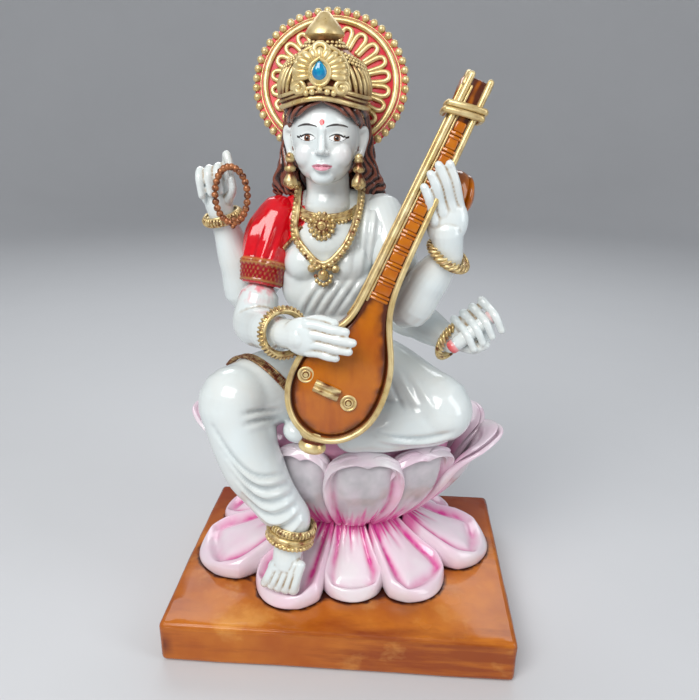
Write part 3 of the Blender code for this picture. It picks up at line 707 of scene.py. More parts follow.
def makePlinth(footprints):
    low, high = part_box("plinth")
    size = Vector(high) - Vector(low)
    clearSelection()
    bpy.ops.mesh.primitive_cube_add(size=1, location=(Vector(low) + Vector(high)) / 2)
    slab = bpy.context.object
    slab.scale = size
    settle(slab)
    edges = slab.modifiers.new("Bevel", "BEVEL")
    edges.width = plinth["edge"] * mm
    edges.segments = plinth["rounding"]
    applyModifiers(slab)
    bpy.ops.object.mode_set(mode="EDIT")
    bpy.ops.mesh.select_all(action="SELECT")
    bpy.ops.mesh.subdivide(number_cuts=5)
    bpy.ops.mesh.select_all(action="DESELECT")
    bpy.ops.object.mode_set(mode="OBJECT")
    for face in slab.data.polygons:
        face.select = max(abs(part) for part in face.normal) > 0.9
    bpy.ops.object.mode_set(mode="EDIT")
    bpy.ops.mesh.subdivide(number_cuts=5)
    bpy.ops.object.mode_set(mode="OBJECT")
    slab.modifiers.new("Triangulate", "TRIANGULATE")
    applyModifiers(slab)
    spots, faces = corners(slab), normals(slab)
    wave = (grainAt(spots, 38.0, 3.0) - 0.5) * 2 * plinth["wave"]
    spots = spots - faces * within(wave + plinth["wave"])[:, None]
    setCorners(slab, spots)
    top = spots[:, 2] > 17
    patch = grainAt(spots, 26.0, 5.0)
    rear = within((spots[:, 1] + 8) / 50) * 0.85 + 1.3 * within(patch - 0.48)
    writeSpread(slab, "rearShade", within(np.where(top, rear, 0.25 + 0.5 * within(patch - 0.5))))
    near = np.full(len(spots), 40.0)
    for i in np.where(top)[0]:
        found = footprints.find_nearest(Vector(spots[i]) * mm, 0.012)
        if found[0] is not None:
            near[i] = found[3] / mm
    writeSpread(slab, "contact", near)
    shade = 0.30 * bell(near, 7.0) * np.clip(grainAt(spots, 9, 2) * 2.6 - 0.7, 0, 1.4)
    ends = within((np.abs(spots[:, 0]) - 72.2) / 2.5) * within(grainAt(spots, 12.0, 9.0) * 2 - 0.6)
    rim = bell(np.abs(spots[:, 2] - 18.2), 1.2) * 0.25
    knot = np.exp(-(((spots[:, 0] + 72) / 1.6) ** 2 + ((spots[:, 2] - 9) / 4.5) ** 2
                    + ((spots[:, 1] + 56) / 3) ** 2))
    writeSpread(slab, "edgeShade", within(np.where(top, shade, 0) + 0.6 * ends + rim + knot))
    return finishPiece(slab, "plinth_slab", slabFinish(), ["plinth"], 35)


lotus = {
    "centre": (0.0, 11.0), "hub": (33.0, 24.0), "reach": (48, 58, 70, 62, 44, 47, 70, 73, 60),
    "lowerTurn": -82.0, "upperThickness": 3.4, "rimHeight": 1.25, "grooveDepth": 1.15, "floor": 20.0,
}


def ovalRadius(half, angle):
    return 1 / sqrt((cos(angle) / half[0]) ** 2 + (sin(angle) / half[1]) ** 2)


def petalGrid(surface, across, along):
    # a sheet with a rounded far end; remembers how near each point is to the edge
    clearSelection()
    bpy.ops.mesh.primitive_grid_add(x_subdivisions=across, y_subdivisions=along, size=2)
    sheet = bpy.context.object
    spots, edge, length, side = [], [], [], []
    for vert in sheet.data.vertices:
        a, b = vert.co.x, vert.co.y
        if b > 0:
            x, y = a * sqrt(1 - b * b / 2), b * sqrt(1 - a * a / 2)
        else:
            x, y = a, b
        e = max(abs(a), b)
        v = (y + 1) / 2
        spots.append(tuple(surface(x, v, e)))
        edge.append(e)
        length.append(v)
        side.append(x)
    setCorners(sheet, np.array(spots))
    writeSpread(sheet, "edge", edge)
    writeSpread(sheet, "length", length)
    writeSpread(sheet, "side", side)
    return sheet


def readSpread(obj, name):
    values = np.empty(len(obj.data.vertices), np.float32)
    obj.data.attributes[name].data.foreach_get("value", values)
    return values.astype(float)


def closeSheet(sheet, thickness, floorHeight=None):
    # a closed body from the sheet: either a shell, or a cushion whose sides go straight down
    if floorHeight is None:
        shell = sheet.modifiers.new("Solidify", "SOLIDIFY")
        shell.thickness = thickness * mm
        shell.offset = -1
        applyModifiers(sheet)
    else:
        makeActive(sheet)
        bpy.ops.object.mode_set(mode="EDIT")
        bpy.ops.mesh.select_all(action="SELECT")
        bpy.ops.mesh.extrude_region_move(TRANSFORM_OT_translate={"value": (0, 0, -0.02)})
        bpy.ops.object.mode_set(mode="OBJECT")
        spots = corners(sheet)
        low = np.array([v.select for v in sheet.data.vertices])
        middle = spots.mean(axis=0)
        spots[low, 2] = floorHeight
        spots[low, :2] = middle[:2] + (spots[low, :2] - middle[:2]) * 0.985
        setCorners(sheet, spots)
    addSmoothing(sheet)
    makeActive(sheet)
    bpy.ops.object.mode_set(mode="EDIT")
    bpy.ops.mesh.select_all(action="SELECT")
    bpy.ops.mesh.normals_make_consistent(inside=False)
    bpy.ops.object.mode_set(mode="OBJECT")
    return sheet


def paintPetal(petal, seed, rootGlow, veinLength, panelShadeAmount=0.0):
    edge, length, side = (readSpread(petal, name) for name in ("edge", "length", "side"))
    spots = corners(petal)
    patch = grainAt(spots, 6.0, seed)
    broad = grainAt(spots, 20.0, seed + 4)
    streak = np.array([0.5 + 0.5 * noise.noise(Vector((a * 9 + seed, b * 1.6, seed))) for a,
                       b in zip(side, length)])
    grooveAt, grooveWidth = (0.69, 0.07) if panelShadeAmount else (0.63, 0.10)
    groove = np.exp(-(((edge - grooveAt) / grooveWidth) ** 2))
    nearRoot = within(1.12 - length)
    line = groove * within(nearRoot * 1.5 - 0.25 + 1.1 * (broad - 0.4))
    if panelShadeAmount:
        line *= within(1.25 - length * 1.3)
    vein = bell(side, 0.06) * within((veinLength - length) / 0.2)
    vein += 0.6 * bell(np.abs(side) - 0.3, 0.05) * within((veinLength * 0.8 - length) / 0.15)
    root = within((rootGlow * (0.55 + 0.9 * streak) - length) / 0.10)
    deep = within(line * (0.45 + 1.1 * patch) + 0.9 * vein * (0.3 + streak) + 0.9 * root * (0.35 + streak))
    halo = bell(edge - 0.72, 0.17) * nearRoot
    rosy = within(0.2 + 0.9 * (broad - 0.42) + 1.0 * halo + 0.5 * within((rootGlow * 1.7 - length) / 0.3))
    # painted shade: the panel inside the rim is greyed, most under the curled lips of the front petals
    inside = within((0.78 - edge) / 0.08) * within((length - 0.18) / 0.2)
    panelShade = panelShadeAmount * inside * (0.35 + 0.55 * within(1 - np.abs(side) * 0.5) * (0.3 + patch))
    writeSpread(petal, "deep", deep)
    writeSpread(petal, "rosy", rosy * (1 - 0.7 * panelShade))
    writeSpread(petal, "panelShade", within(panelShade))
    writeHollows(petal, 2, 1.0)
    for name in ("edge", "length", "side"):
        petal.data.attributes.remove(petal.data.attributes[name])


def rimShape(e):
    # rolled edge, then a groove, then a low dome
    roll = lotus["rimHeight"] * bell(e - 0.88, 0.10)
    groove = -lotus["grooveDepth"] * bell(e - 0.70, 0.09)
    dome = 0.9 * max(0.0, 1 - (e / 0.62) ** 2)
    return roll + groove + dome


def makeLowerPetal(index, reach):
    angle = radians(lotus["lowerTurn"] + 40 * index)
    heading = Vector((cos(angle), sin(angle), 0))
    side = Vector((heading.y, -heading.x, 0))
    root = ovalRadius(lotus["hub"], angle) - 6
    centre = Vector((*lotus["centre"], 0))
    sway = 2.2 * sin(index * 2.1)

    def surface(x, v, e):
        radius = root + (reach - root) * v
        half = (root + (reach - root) * min(v, 0.64)) * tan(radians(20))
        half = half * (1.05 + 0.12 * min(v, 0.6)) - 0.3
        rim = bell(e - 0.84, 0.13)
        groove = bell(e - 0.62, 0.12)
        dome = max(0.0, 1 - (e / 0.55) ** 2)
        height = 24.9 + 18 * (1 - v) ** 1.9 + 1.3 * (rim - groove + dome) * (0.5 + 0.6 * min(1, v * 2.2))
        # the edge turns down to the slab
        height -= 3.0 * max(0.0, (e - 0.82) / 0.18) ** 2 * min(1, v * 2.5)
        height += 1.2 * x * x * (1 - v * 0.4) - 1.8 * max(0, v - 0.75) / 0.25 * (1 - x * x * 0.3)
        if v < 0.5:
            height -= 1.3 * bell(x, 0.12) * (0.5 - v) * 2
        return centre + heading * radius + side * (half * x + sway * v * v) + by(0, 0, height)

    petal = closeSheet(petalGrid(surface, 28, 36), 0, lotus["floor"])
    spots = corners(petal)
    spots[:, 2] = np.maximum(spots[:, 2], lotus["floor"] + 0.05)
    setCorners(petal, spots)
    paintPetal(petal, index * 3.1, 0.20, 0.42)
    return finishPiece(petal, f"lower_petal_{index + 1}_leaf", petalFinish,
                       [f"lower_petal_{index + 1}"])


lipProfile = ((27, 39), (34, 43.5), (43, 53), (49.5, 63), (52.8, 73), (54.4, 81), (55.4, 86.5),
              (56.0, 89.0))
standProfile = ((27, 39), (34, 43), (43.5, 53), (50, 63), (54.5, 72), (58.5, 79), (63.5, 85.0),
                (68.5, 90.0))


def profileAt(profile, share):
    place = share * (len(profile) - 1)
    i = min(int(place), len(profile) - 2)
    t = place - i
    a, b, c, d = (Vector(profile[min(max(i + k, 0), len(profile) - 1)]) for k in (-1, 0, 1, 2))
    return throughFour(a, b, c, d, t)


# how each upper petal differs: facing, half spread, step out from the bowl,
# drop of the tip, strength of the lip, extra flare
upperShapes = (
    (-77, 27, 5.2, 0.8, 1.0, 0), (-41, 24, 1.0, 3.4, 1.0, 0), (-5, 20, 2.6, 3.5, 0.12, 4),
               (17, 19, 0.8, 1.0, 0.1, 1.5), (43, 20, 1.6, 0.0, 0.12, 1),
    (76, 20, 0.2, 0.0, 0.1, 0), (109, 20, 1.4, 0.5, 0.12, 0), (142, 20, 0.2, 0.5, 0.1, 0),
               (178, 20, 1.4, 0.0, 0.1, 8), (-116, 22, 1.4, 0.5, 1.0, 0),
    (-147, 21, 0.3, 3.0, 0.8, 0),
)


def makeUpperPetal(index):
    facing, spread, step, drop, lip, flare = upperShapes[index]
    angle = radians(facing)
    centre = Vector((*lotus["centre"], 0))
    profile = lipProfile if lip > 0.3 else standProfile

    def surface(x, v, e):
        spot = profileAt(profile, v)
        turn = angle + x * radians(spread) * (0.74 + 0.26 * sin(min(1.0, v / 0.6) * pi / 2))
        high = min(1.0, max(0.0, (v - 0.50) / 0.32))
        high = high * high * (3 - 2 * high) * lip
        cusp = bell(x - 0.05, 0.15) - 0.25 * bell(abs(x - 0.05) - 0.34, 0.16)
        start = 0.84 - 0.12 * high - 0.17 * high * cusp  # the lip's lower edge, with a cusp in the middle
        band = min(1.0, max(0.0, (e - start) / (1 - start)))
        rise = min(1.0, band / 0.34)
        rise = rise * rise * (3 - 2 * rise) * (1 - 1.25 * band * band)
        out = spot.x - 3.0 + step * min(1, v * 2) + flare * v * v * (1 - 0.3 * x * x)
        radius = ovalRadius((out, out * 0.68), turn)
        lobes = 1.0 * bell(abs(x) - 0.34, 0.2) * sin(pi * min(1, v * 1.15)) * (1 - band)
        radius += 2.2 * (1 - x * x) * sin(pi * min(1, v * 1.05)) + lobes + rimShape(e) * (1.05 - 0.6 * high)
        radius += high * 4.6 * rise - (1 - high) * 1.6 * max(0.0, (e - 0.9) / 0.1) ** 2
        height = spot.y - drop * v * v - high * (2.4 * rise - 1.6 * band * band)
        height -= 6.5 * abs(x) ** 2.6 * v if lip > 0.3 else 2.5 * x * x * v  # the shoulders fall away
        return centre + by(cos(turn) * radius, sin(turn) * radius, height)

    petal = closeSheet(petalGrid(surface, 40, 48), lotus["upperThickness"])
    paintPetal(petal, 40 + index * 2.7, 0.34, 0.40, 1.0 if lip > 0.3 else 0.5)
    nodes = [f"upper_petal_{index + 1}"] if index < 10 else []
    return finishPiece(petal, f"upper_petal_{index + 1}_leaf", petalFinish, nodes)


def makeLotusHeart():
    # the bowl inside the upper petals and the stem under it
    clearSelection()
    bpy.ops.mesh.primitive_uv_sphere_add(segments=64, ring_count=32, radius=1)
    bowl = bpy.context.object
    spots = corners(bowl) * mm
    share = (spots[:, 2] + 1) / 2
    brim = 0.93  # above this share of the ball it is the nearly flat top
    height = np.where(share > brim, 85.2 + 1.2 * (share - brim) / (1 - brim),
                      40 + 45.2 * (share / brim) ** 0.8)
    flat = np.hypot(spots[:, 0], spots[:, 1])
    turn = np.arctan2(spots[:, 1], spots[:, 0])
    swell = np.sin(within((height - 38) / 50) * np.pi / 2) ** 0.8
    reach = np.where(share > brim, flat / np.sin(np.arccos(2 * brim - 1)), np.minimum(1, flat / 0.35))
    across = (24 + 25 * swell) * reach
    deep = (15 + 17 * swell) * reach
    lump = 1 + 0.02 * np.sin(turn * 10)
    middle = lotus["centre"][1]
    points = np.stack([across * np.cos(turn) * lump, middle + deep * np.sin(turn) * lump, height], 1)
    setCorners(bowl, points)
    stem = addRoll([(0, middle, 21), (0, middle, 30), (0, middle, 41)], (26, 24, 22), 40)
    points = corners(stem)
    points[:, 1] = middle + (points[:, 1] - middle) * 0.72
    points[:, 2] = np.clip(points[:, 2], lotus["floor"] + 0.2, 42)
    setCorners(stem, points)
    for obj in (bowl, stem):
        writeSpread(obj, "deep", np.full(len(obj.data.vertices), 0.5))
        writeSpread(obj, "rosy", np.full(len(obj.data.vertices), 0.6))
        writeHollows(obj)
    finishPiece(bowl, "lotus_bowl", petalFinish, ["lotus_cup"])
    finishPiece(stem, "lotus_stem", petalFinish, ["lotus_base"])


petalFinish = paint(petalGlaze, "rosy", (0.85, 0.36, 0.60), 0.5)
# painted shade on the petal panels inside the rims
paint(petalFinish, "panelShade", (0.36, 0.355, 0.37), 0.75)
paint(petalFinish, "deep", s["magenta"], 0.95)


def makeLotus():
    makeLotusHeart()
    for index, reach in enumerate(lotus["reach"]):
        makeLowerPetal(index, reach)
    for index in range(len(upperShapes)):
        makeUpperPetal(index)
    print("lotus shaped")


def lowerFootprints():
    points, faces = [], []
    for index in range(9):
        mesh = bpy.data.objects[f"lower_petal_{index + 1}_leaf"].data
        start = len(points)
        points += [v.co.copy() for v in mesh.vertices]
        faces += [[start + k for k in f.vertices] for f in mesh.polygons]
    return BVHTree.FromPolygons(points, faces)


makeLotus()
makePlinth(lowerFootprints())
print("plinth cut")

veena = {
    "centre": (1.5, -42.0, 125.0), "axis": (46.0, 18.0, 107.0), "front": -5.5,
    "railRadius": 1.12, "railInset": 1.0, "firstFret": 36.5, "fretPitch": 6.1, "lastFret": 99.0,
    # each side: the neck's edge, its slope, the belly's width, and where and how softly the belly ends
    "left": (-9.4, 0.025, -11.7, 17.3, 3.4), "right": (2.5, 0.0, 13.9, 22.5, 6.0),
    "bottom": (-2.5, -1.1, 18.5, 21.3),  # middle of the round end, and its half width and depth
}
veenaUp = Vector(veena["axis"]).normalized()
veenaOut = (Vector((0, -1, 0)) + veenaUp * veenaUp.y).normalized()
veenaAcross = (-veenaOut).cross(veenaUp)
veenaTurn = Matrix((veenaAcross, -veenaOut, veenaUp)).transposed()


def onVeena(side, depth, height):
    return Vector(veena["centre"]) + veenaTurn @ Vector((side, depth, height))


def inVeena(spots):
    # the same three measures for each point of a mesh
    return (spots - np.array(veena["centre"])) @ np.array(veenaTurn)


def veenaFrame(side, depth, height):
    return Matrix.Translation(onVeena(side, depth, height) * mm) @ veenaTurn.to_4x4()


def edgeAt(name, height):
    neck, slope, belly, middle, softness = veena[name]
    return neck + slope * height + belly / (1 + exp((height - middle) / softness))


def veenaOutline():
    # each entry is an edge point and the spine point across from it
    heights = [0.5 + 1.5 * i for i in range(79)]
    x, h, wide, deep = veena["bottom"]
    low = [(x - wide * cos(pi * k / 46), h - deep * sin(pi * k / 46)) for k in range(47)]
    spine = {h: ((edgeAt("left", h) + edgeAt("right", h)) / 2, h) for h in heights}
    outline = [((edgeAt("left", h), h), spine[h]) for h in reversed(heights)]
    outline += [(p, (-2.4, 0.2)) for p in low]
    outline += [((edgeAt("right", h), h), spine[h]) for h in heights]
    soft = [edge for edge, _ in outline]
    for _ in range(3):  # rounds off the corners between the stretches
        middle = [tuple((a[k] + 2 * b[k] + c[k]) / 4 for k in (0, 1)) for a, b,
                  c in zip(soft, soft[1:], soft[2:])]
        soft = [soft[0]] + middle + [soft[-1]]
    return [(edge, spine) for edge, (_, spine) in zip(soft, outline)]


def veenaRing(outline, inset, share, depth):
    # the outline drawn in towards the spine, at one depth or at a depth that depends on the width there
    points = []
    for (x, h), (sx, sh) in outline:
        width = max(0.01, hypot(x - sx, h - sh))
        t = min(1.0, max(inset / width, share))
        bulge = min(1.0, width / 16)
        points.append(onVeena(x + (sx - x) * t, depth(bulge, t) if callable(depth) else depth,
                              h + (sh - h) * t))
    return points


def sheetFromRings(rings):
    bm = bmesh.new()
    rows = [[bm.verts.new(Vector(p) * mm) for p in ring] for ring in rings]
    for low, high in zip(rows, rows[1:]):
        for i in range(len(low) - 1):
            bm.faces.new((low[i], low[i + 1], high[i + 1], high[i]))
    bmesh.ops.remove_doubles(bm, verts=bm.verts, dist=2e-5)
    bmesh.ops.holes_fill(bm, edges=[e for e in bm.edges if e.is_boundary], sides=0)
    bmesh.ops.recalc_face_normals(bm, faces=bm.faces)
    mesh = bpy.data.meshes.new("sheet")
    bm.to_mesh(mesh)
    bm.free()
    obj = bpy.data.objects.new("sheet", mesh)
    bpy.context.scene.collection.objects.link(obj)
    return obj


def makeVeenaBody():
    outline = veenaOutline()
    front = veena["front"]

    def board(bulge, t):
        return front + 0.5 - 2.2 * bulge * sin(min(1.0, t * 1.1) * pi / 2)

    def back(bulge, t):
        return 5.2 + 5.5 * bulge * sin(min(1.0, t * 1.15) * pi / 2)

    rings = [veenaRing(outline, 0, share, board) for share in (1.0, 0.9, 0.78, 0.64, 0.5, 0.38, 0.28)]
    rings += [veenaRing(outline, 3.4, 0.0, lambda bulge, t: board(bulge, t) + 0.1),
              veenaRing(outline, 2.7, 0, front + 1.2)]
    rings += [veenaRing(outline, 1.8, 0, front + 0.9), veenaRing(outline, 0.4, 0, front + 0.5),
              veenaRing(outline, 0.0, 0, front + 1.6)]
    rings += [veenaRing(outline, 0.0, 0, d) for d in (-2.0, 0.0, 2.0)]
    rings += [veenaRing(outline, 0.5, 0, 3.6), veenaRing(outline, 1.6, 0, 4.9)]
    rings += [veenaRing(outline, 0, share, back) for share in (0.3, 0.45, 0.65, 0.85, 1.0)]
    body = sheetFromRings(rings)
    addSmoothing(body)
    spots = corners(body)
    local = inVeena(spots)
    edges = np.array([edge for edge, _ in outline])
    gap = np.full(len(spots), 50.0)
    flat = local[:, [0, 2]]
    for a, b in zip(edges, edges[1:]):
        t = within(((flat - a) @ (b - a)) / max((b - a) @ (b - a), 1e-9))
        gap = np.minimum(gap, np.linalg.norm(flat - (a + t[:, None] * (b - a)), axis=1))
    facing = local[:, 1] < -2.5
    # dark brown: a band in the groove inside the rail, patchy and wider on the neck, and the sides; in the
    # groove this is partly painted shade
    darkTintAndShade = 1.2 * bell(gap - 2.8, 0.75)
    darkTintAndShade += 0.8 * bell(gap - 3.6, 1.8) * within(grainAt(spots, 7, 2) * 3 - 1.0)
    neck = local[:, 2] > 30
    darkTintAndShade += np.where(neck, 0.5 * bell(gap - 3.0, 0.8), 0)
    side = 0.55 + 0.5 * np.clip(grainAt(spots, 9, 4) * 2 - 0.9, -0.4, 1)
    writeSpread(body, "darkTintAndShade", within(np.where(facing, darkTintAndShade, side)))
    # painted highlight: lighter towards the middle of the belly's front
    writeSpread(body, "paleTintAndHighlight", within(np.where(facing & (local[:, 2] < 32), 0.8 - 0.06 * (20 - gap), 0.2)))
    writeHollows(body, 2, 0.3)
    finishPiece(body, "veena_shell", veenaFinish, ["veena_body", "veena_soundboard"])
    return outline


def makeVeenaRails(outline):
    # the outer gold edge, an inner strip along the left of the neck, and a low strip down each side
    front = veena["front"]
    edge = []
    for (x, h), (sx, sh) in outline:
        inset = min(1, veena["railInset"] / max(1e-6, hypot(x - sx, h - sh)))
        edge.append(onVeena(x + (sx - x) * inset, front - 0.3, h + (sh - h) * inset))
    rail = addRoll(edge, veena["railRadius"], 12, 1)
    inner = addRoll([onVeena(edgeAt("left", h) + 2.7, front + 0.1, h) for h in range(34, 118, 4)], 0.5, 8,
                    2)
    low = addRoll([onVeena(edgeAt("left", h) - 0.2, -1.2, h) for h in range(26, 118, 4)], 0.55, 8, 2)
    lowRight = addRoll([onVeena(edgeAt("right", h) + 0.2, -1.2, h) for h in range(26, 118, 4)], 0.45, 8, 2)
    rails = joinParts([rail, inner, low, lowRight])
    writeHollows(rails, 2, 0.5)
    writeSpread(rails, "hollow", np.clip(grainAt(corners(rails), 3.0, 6) * 2.4 - 1.35, 0, 0.6))
    finishPiece(rails, "veena_rails", goldPlain)


def makeFrets():
    front = veena["front"]
    parts = []
    height = veena["firstFret"]
    while height < veena["lastFret"]:
        middle = (edgeAt("left", height + 3) + edgeAt("right", height + 3)) / 2 + 0.45
        half = (edgeAt("right", height + 3) - edgeAt("left", height + 3)) / 2 - 2.9
        for lift in (-0.75, 0.65):
            ends = [onVeena(middle - half, front - 0.25, height + lift),
                    onVeena(middle, front - 0.75, height + lift),
                    onVeena(middle + half, front - 0.25, height + lift)]
            parts.append(addRoll(ends, 0.62, 8, 2))
        clearSelection()
        bpy.ops.mesh.primitive_cube_add(size=1)
        panel = bpy.context.object
        place(panel, veenaFrame(middle, front - 0.1,
                                height + 3.1) @ Matrix.Diagonal((half * 2 * mm, 1.7 * mm, 3.5 * mm, 1)))
        soft = panel.modifiers.new("Bevel", "BEVEL")
        soft.width = 0.55 * mm
        soft.segments = 3
        applyModifiers(panel)
        parts.append(panel)
        height += veena["fretPitch"]
    frets = joinParts(parts)
    spots = corners(frets)
    local = inVeena(spots)
    # painted shade: darker further back, in the gaps between the bars
    writeSpread(frets, "darkTintAndShade", within((local[:, 1] - (front - 0.55)) / 0.7) * 0.9)
    writeSpread(frets, "paleTintAndHighlight", within(grainAt(spots, 2.5, 8) * 1.6 - 0.3))
    writeHollows(frets, 1, 0.3)
    finishPiece(frets, "veena_frets", veenaFinish, (), 40)


def ringRoll(centre, axis, radius, thick, count, squash=1.0):
    return addRoll(ringPoints(centre, axis, radius, count, squash), thick, 10, 1, closed=True)


def makeVeenaTrim():
    front = veena["front"]
    out = Matrix.Rotation(radians(90), 4, "X")
    parts = []
    for side, height in ((-15.0, -0.2), (3.5, -3.4)):
        lift = front - 1.9 if side > 0 else front - 0.7
        for radius, thick in ((2.7, 0.42), (1.45, 0.34)):
            parts.append(ringRoll(onVeena(side, lift, height), veenaOut, radius, thick, 28))
        parts.append(lathe([(0, 0.9), (0.8, 0.75), (1.0, 0.2), (2.6, 0.1), (2.6, -0.8), (0, -0.8)],
                           veenaFrame(side, lift, height) @ out, 24))
    rosettes = joinParts(parts)
    writeHollows(rosettes, 1, 1.2)
    finishPiece(rosettes, "veena_rosettes", goldPaint, (), 50)
    tubes = []
    for shift in (-1.15, 1.05):
        ends = [onVeena(-10.6, front - 2.3, -2.0 + shift), onVeena(-5.8, front - 2.9, -2.0 + shift),
                onVeena(-1.0, front - 2.6, -2.1 + shift)]
        tubes.append(addRoll(ends, 1.25, 14, 3, rounded=False))
    bridge = joinParts(tubes)
    writeSpread(bridge, "hollow", np.clip(grainAt(corners(bridge), 2.0, 3) * 2.2 - 0.9, 0, 0.8))
    finishPiece(bridge, "veena_bridge_bars", goldPaint, ["veena_bridge"], 50)
    down = Matrix.Rotation(radians(180 - 12), 4, "Y")
    knob = lathe([(0, -2), (5.4, -2), (6.2, -0.6), (6.0, 1.0), (4.6, 1.9), (4.3, 3.0), (5.3, 4.2),
                  (5.6, 5.6), (4.6, 7.2), (2.2, 8.0), (0, 8.1)],
                 veenaFrame(-2.4, 0.0, -21.6) @ down, 28, (1, 0.85))
    addSmoothing(knob)
    writeHollows(knob, 2, 2.5)
    finishPiece(knob, "veena_knob", goldPaint, ["veena_tail_knob"])
    bands = []
    for height, shift in ((104.9, 0.0), (107.3, 0.1)):
        path = [(-8.6, 2.6), (-8.9, -1), (-8.7, front - 0.6), (-7.4, front - 1.6), (-2.4, front - 2.2),
                (2.6, front - 1.6),
                (3.9, front - 0.6), (4.2, -1), (3.9, 2.6)]
        bands.append(addRoll([onVeena(x + shift, d, height + 0.16 * (x + 2)) for x, d in path], 1.15, 10,
                             4))
    clasp = joinParts(bands)
    writeSpread(clasp, "hollow", np.clip(grainAt(corners(clasp), 1.6, 9) * 2.2 - 1.1, 0, 0.7))
    finishPiece(clasp, "veena_clasp_bands", goldPlain, ["veena_clasp"])


def makeVeenaHead():
    # the peg box curls back over the top and hangs down behind the neck
    path = ((0, 0.5, 113.4), (0, 4.6, 116.2), (0.3, 9.6, 115.4), (0.6, 12.6, 110.5), (0.7, 13.0, 103.5),
            (0.5, 11.4, 96), (0.4, 9.2, 90))
    parts = []
    for side in (-4.7, -2.2, 0.4):
        parts.append(addRoll([onVeena(side + a, d, h) for a, d, h in path],
                             (2.9, 3.1, 3.1, 2.9, 2.7, 2.3, 1.3), 16, 5))
    parts.append(addRoll([onVeena(-2.2, -0.6, 108), onVeena(-2.2, -0.6, 113.6)], 4.2, 16, 3))
    head = fuseClay(parts, 0.5, 5)
    spots = corners(head)
    local = inVeena(spots)
    # dark brown patches, and painted shade on the part hanging below the curl
    writeSpread(head, "darkTintAndShade",
                within(0.25 + 0.9 * (grainAt(spots, 7, 3) - 0.45) + 0.5 * (local[:, 2] < 101)))
    # painted light: lighter along the top of the curl
    writeSpread(head, "paleTintAndHighlight", within((local[:, 2] - 108) / 10) * (local[:, 1] < 6))
    writeHollows(head, 3, 1.5)
    finishPiece(head, "veena_scroll", veenaFinish, ["veena_pegbox"])
    trims = []
    for side in (-6.5, 1.9):
        over = [(side, -5.6, 114), (side, -4.6, 117.2), (side + 0.1, -1.6, 118.6), (side + 0.2, 3.6, 119.3),
                (side + 0.5, 9.4, 118.4), (side + 0.8, 13.6, 114.6),
                (side + 0.8, 15.4, 108)]
        trims.append(addRoll([onVeena(*spot) for spot in over], 0.95, 10, 5))
    for spot, end in (((2.6, 3.6, 111.6), (3.4, 9.0, 112.6)), ((2.8, 4.6, 107.2), (3.6, 9.4, 108.2)),
                      ((2.8, 5.0, 102.6), (3.4, 8.6, 103.0))):
        trims.append(addRoll([onVeena(*spot), onVeena(*end)], 0.9, 10, 3))
    trim = joinParts(trims)
    writeSpread(trim, "hollow", np.clip(grainAt(corners(trim), 2.0, 5) * 2.2 - 1.0, 0, 0.7))
    finishPiece(trim, "veena_scroll_trim", goldPlain)
    centre = Vector((39.5, -17, 193))
    bowl = lathe([(0, 9.6), (3, 9.2), (6, 7.2), (8.2, 3.4), (8.8, 0), (8.2, -3.6), (6.4, -7), (3.2, -9.2),
                  (0, -9.8)],
                 Matrix.Translation(centre * mm) @ aim((0.55, 0.2, -0.2))
                 @ Matrix.Rotation(radians(90), 4, "X"), 40, (1, 0.95))
    addSmoothing(bowl)
    lip = ringRoll(centre + by(3.4, 0, -0.5), (1, 0.35, -0.3), 7.6, 1.0, 40)
    gourd = joinParts([bowl, lip])
    writeSpread(gourd, "darkTintAndShade", within(grainAt(corners(gourd), 6, 7) * 1.6 - 0.55))
    writeSpread(gourd, "paleTintAndHighlight", within(grainAt(corners(gourd), 8, 2) - 0.2))
    writeHollows(gourd, 2, 1)
    finishPiece(gourd, "veena_gourd", veenaFinish, ["veena_upper_gourd"])


# the pale orange is painted highlight on the belly and the scroll's top, and lighter patches elsewhere
veenaFinish = paint(lacquerGloss, "paleTintAndHighlight", (0.62, 0.215, 0.010), 0.55)
strokeGrain = grain(veenaFinish.node_tree, 70.0, 4.0, 0.6, (2.4, 2.4, 0.5))
strokes = reckon(veenaFinish.node_tree, "MULTIPLY_ADD", strokeGrain, 4.0, -2.0, clamp=True)
paint(veenaFinish, strokes, (0.27, 0.045, 0.003), 0.6)
# dark brown, and painted shade in the rail's groove, the fret gaps and under the scroll's curl
paint(veenaFinish, "darkTintAndShade", s["lacquerDark"], 0.92)
veenaEdge = makeVeenaBody()
makeVeenaRails(veenaEdge)
makeFrets()
makeVeenaTrim()
makeVeenaHead()
print("veena strung")

body = {
    "grain": 0.62, "handGrain": 0.42, "finger": 1.8, "pluckingFinger": 1.85,
    "chest": (-8, -3, 167), "waist": (-5, 2, 132), "neck": (-8.5, -3, 190), "head": (-9, -7, 212),
        "hips": (-3, 9, 104),
    "rightKnee": (-44, -27, 110), "rightAnkle": (-21.5, -31, 52), "leftKnee": (39, -14, 105),
        "leftHeel": (4, -26, 97),
    "rightShoulder": (-31, 0, 180), "rightElbow": (-37.5, -15, 140), "rightWrist": (-20, -43, 145.5),
    "leftShoulder": (13, 1, 182), "leftElbow": (25, -22, 151), "leftWrist": (38.5, -29, 173),
    "rearRightShoulder": (-26, 8, 170), "rearRightElbow": (-44, 6, 147), "rearRightWrist": (-52, -1, 181),
    "rearLeftShoulder": (8, 9, 168), "rearLeftElbow": (21, 4, 143), "rearLeftWrist": (43, -12, 134.5),
}
at = {name: Vector(spot) for name, spot in body.items() if isinstance(spot, tuple)}


def swag(left, right, sag, bulge):
    # hangs between two points and rounds the body in front
    return [Vector(left).lerp(Vector(right), k / 5) + by(0, -bulge, -sag) * sin(pi * k / 5)
            for k in range(6)]


# the folds below are each a path, a half width, and how far it is raised (or sunk, if negative)


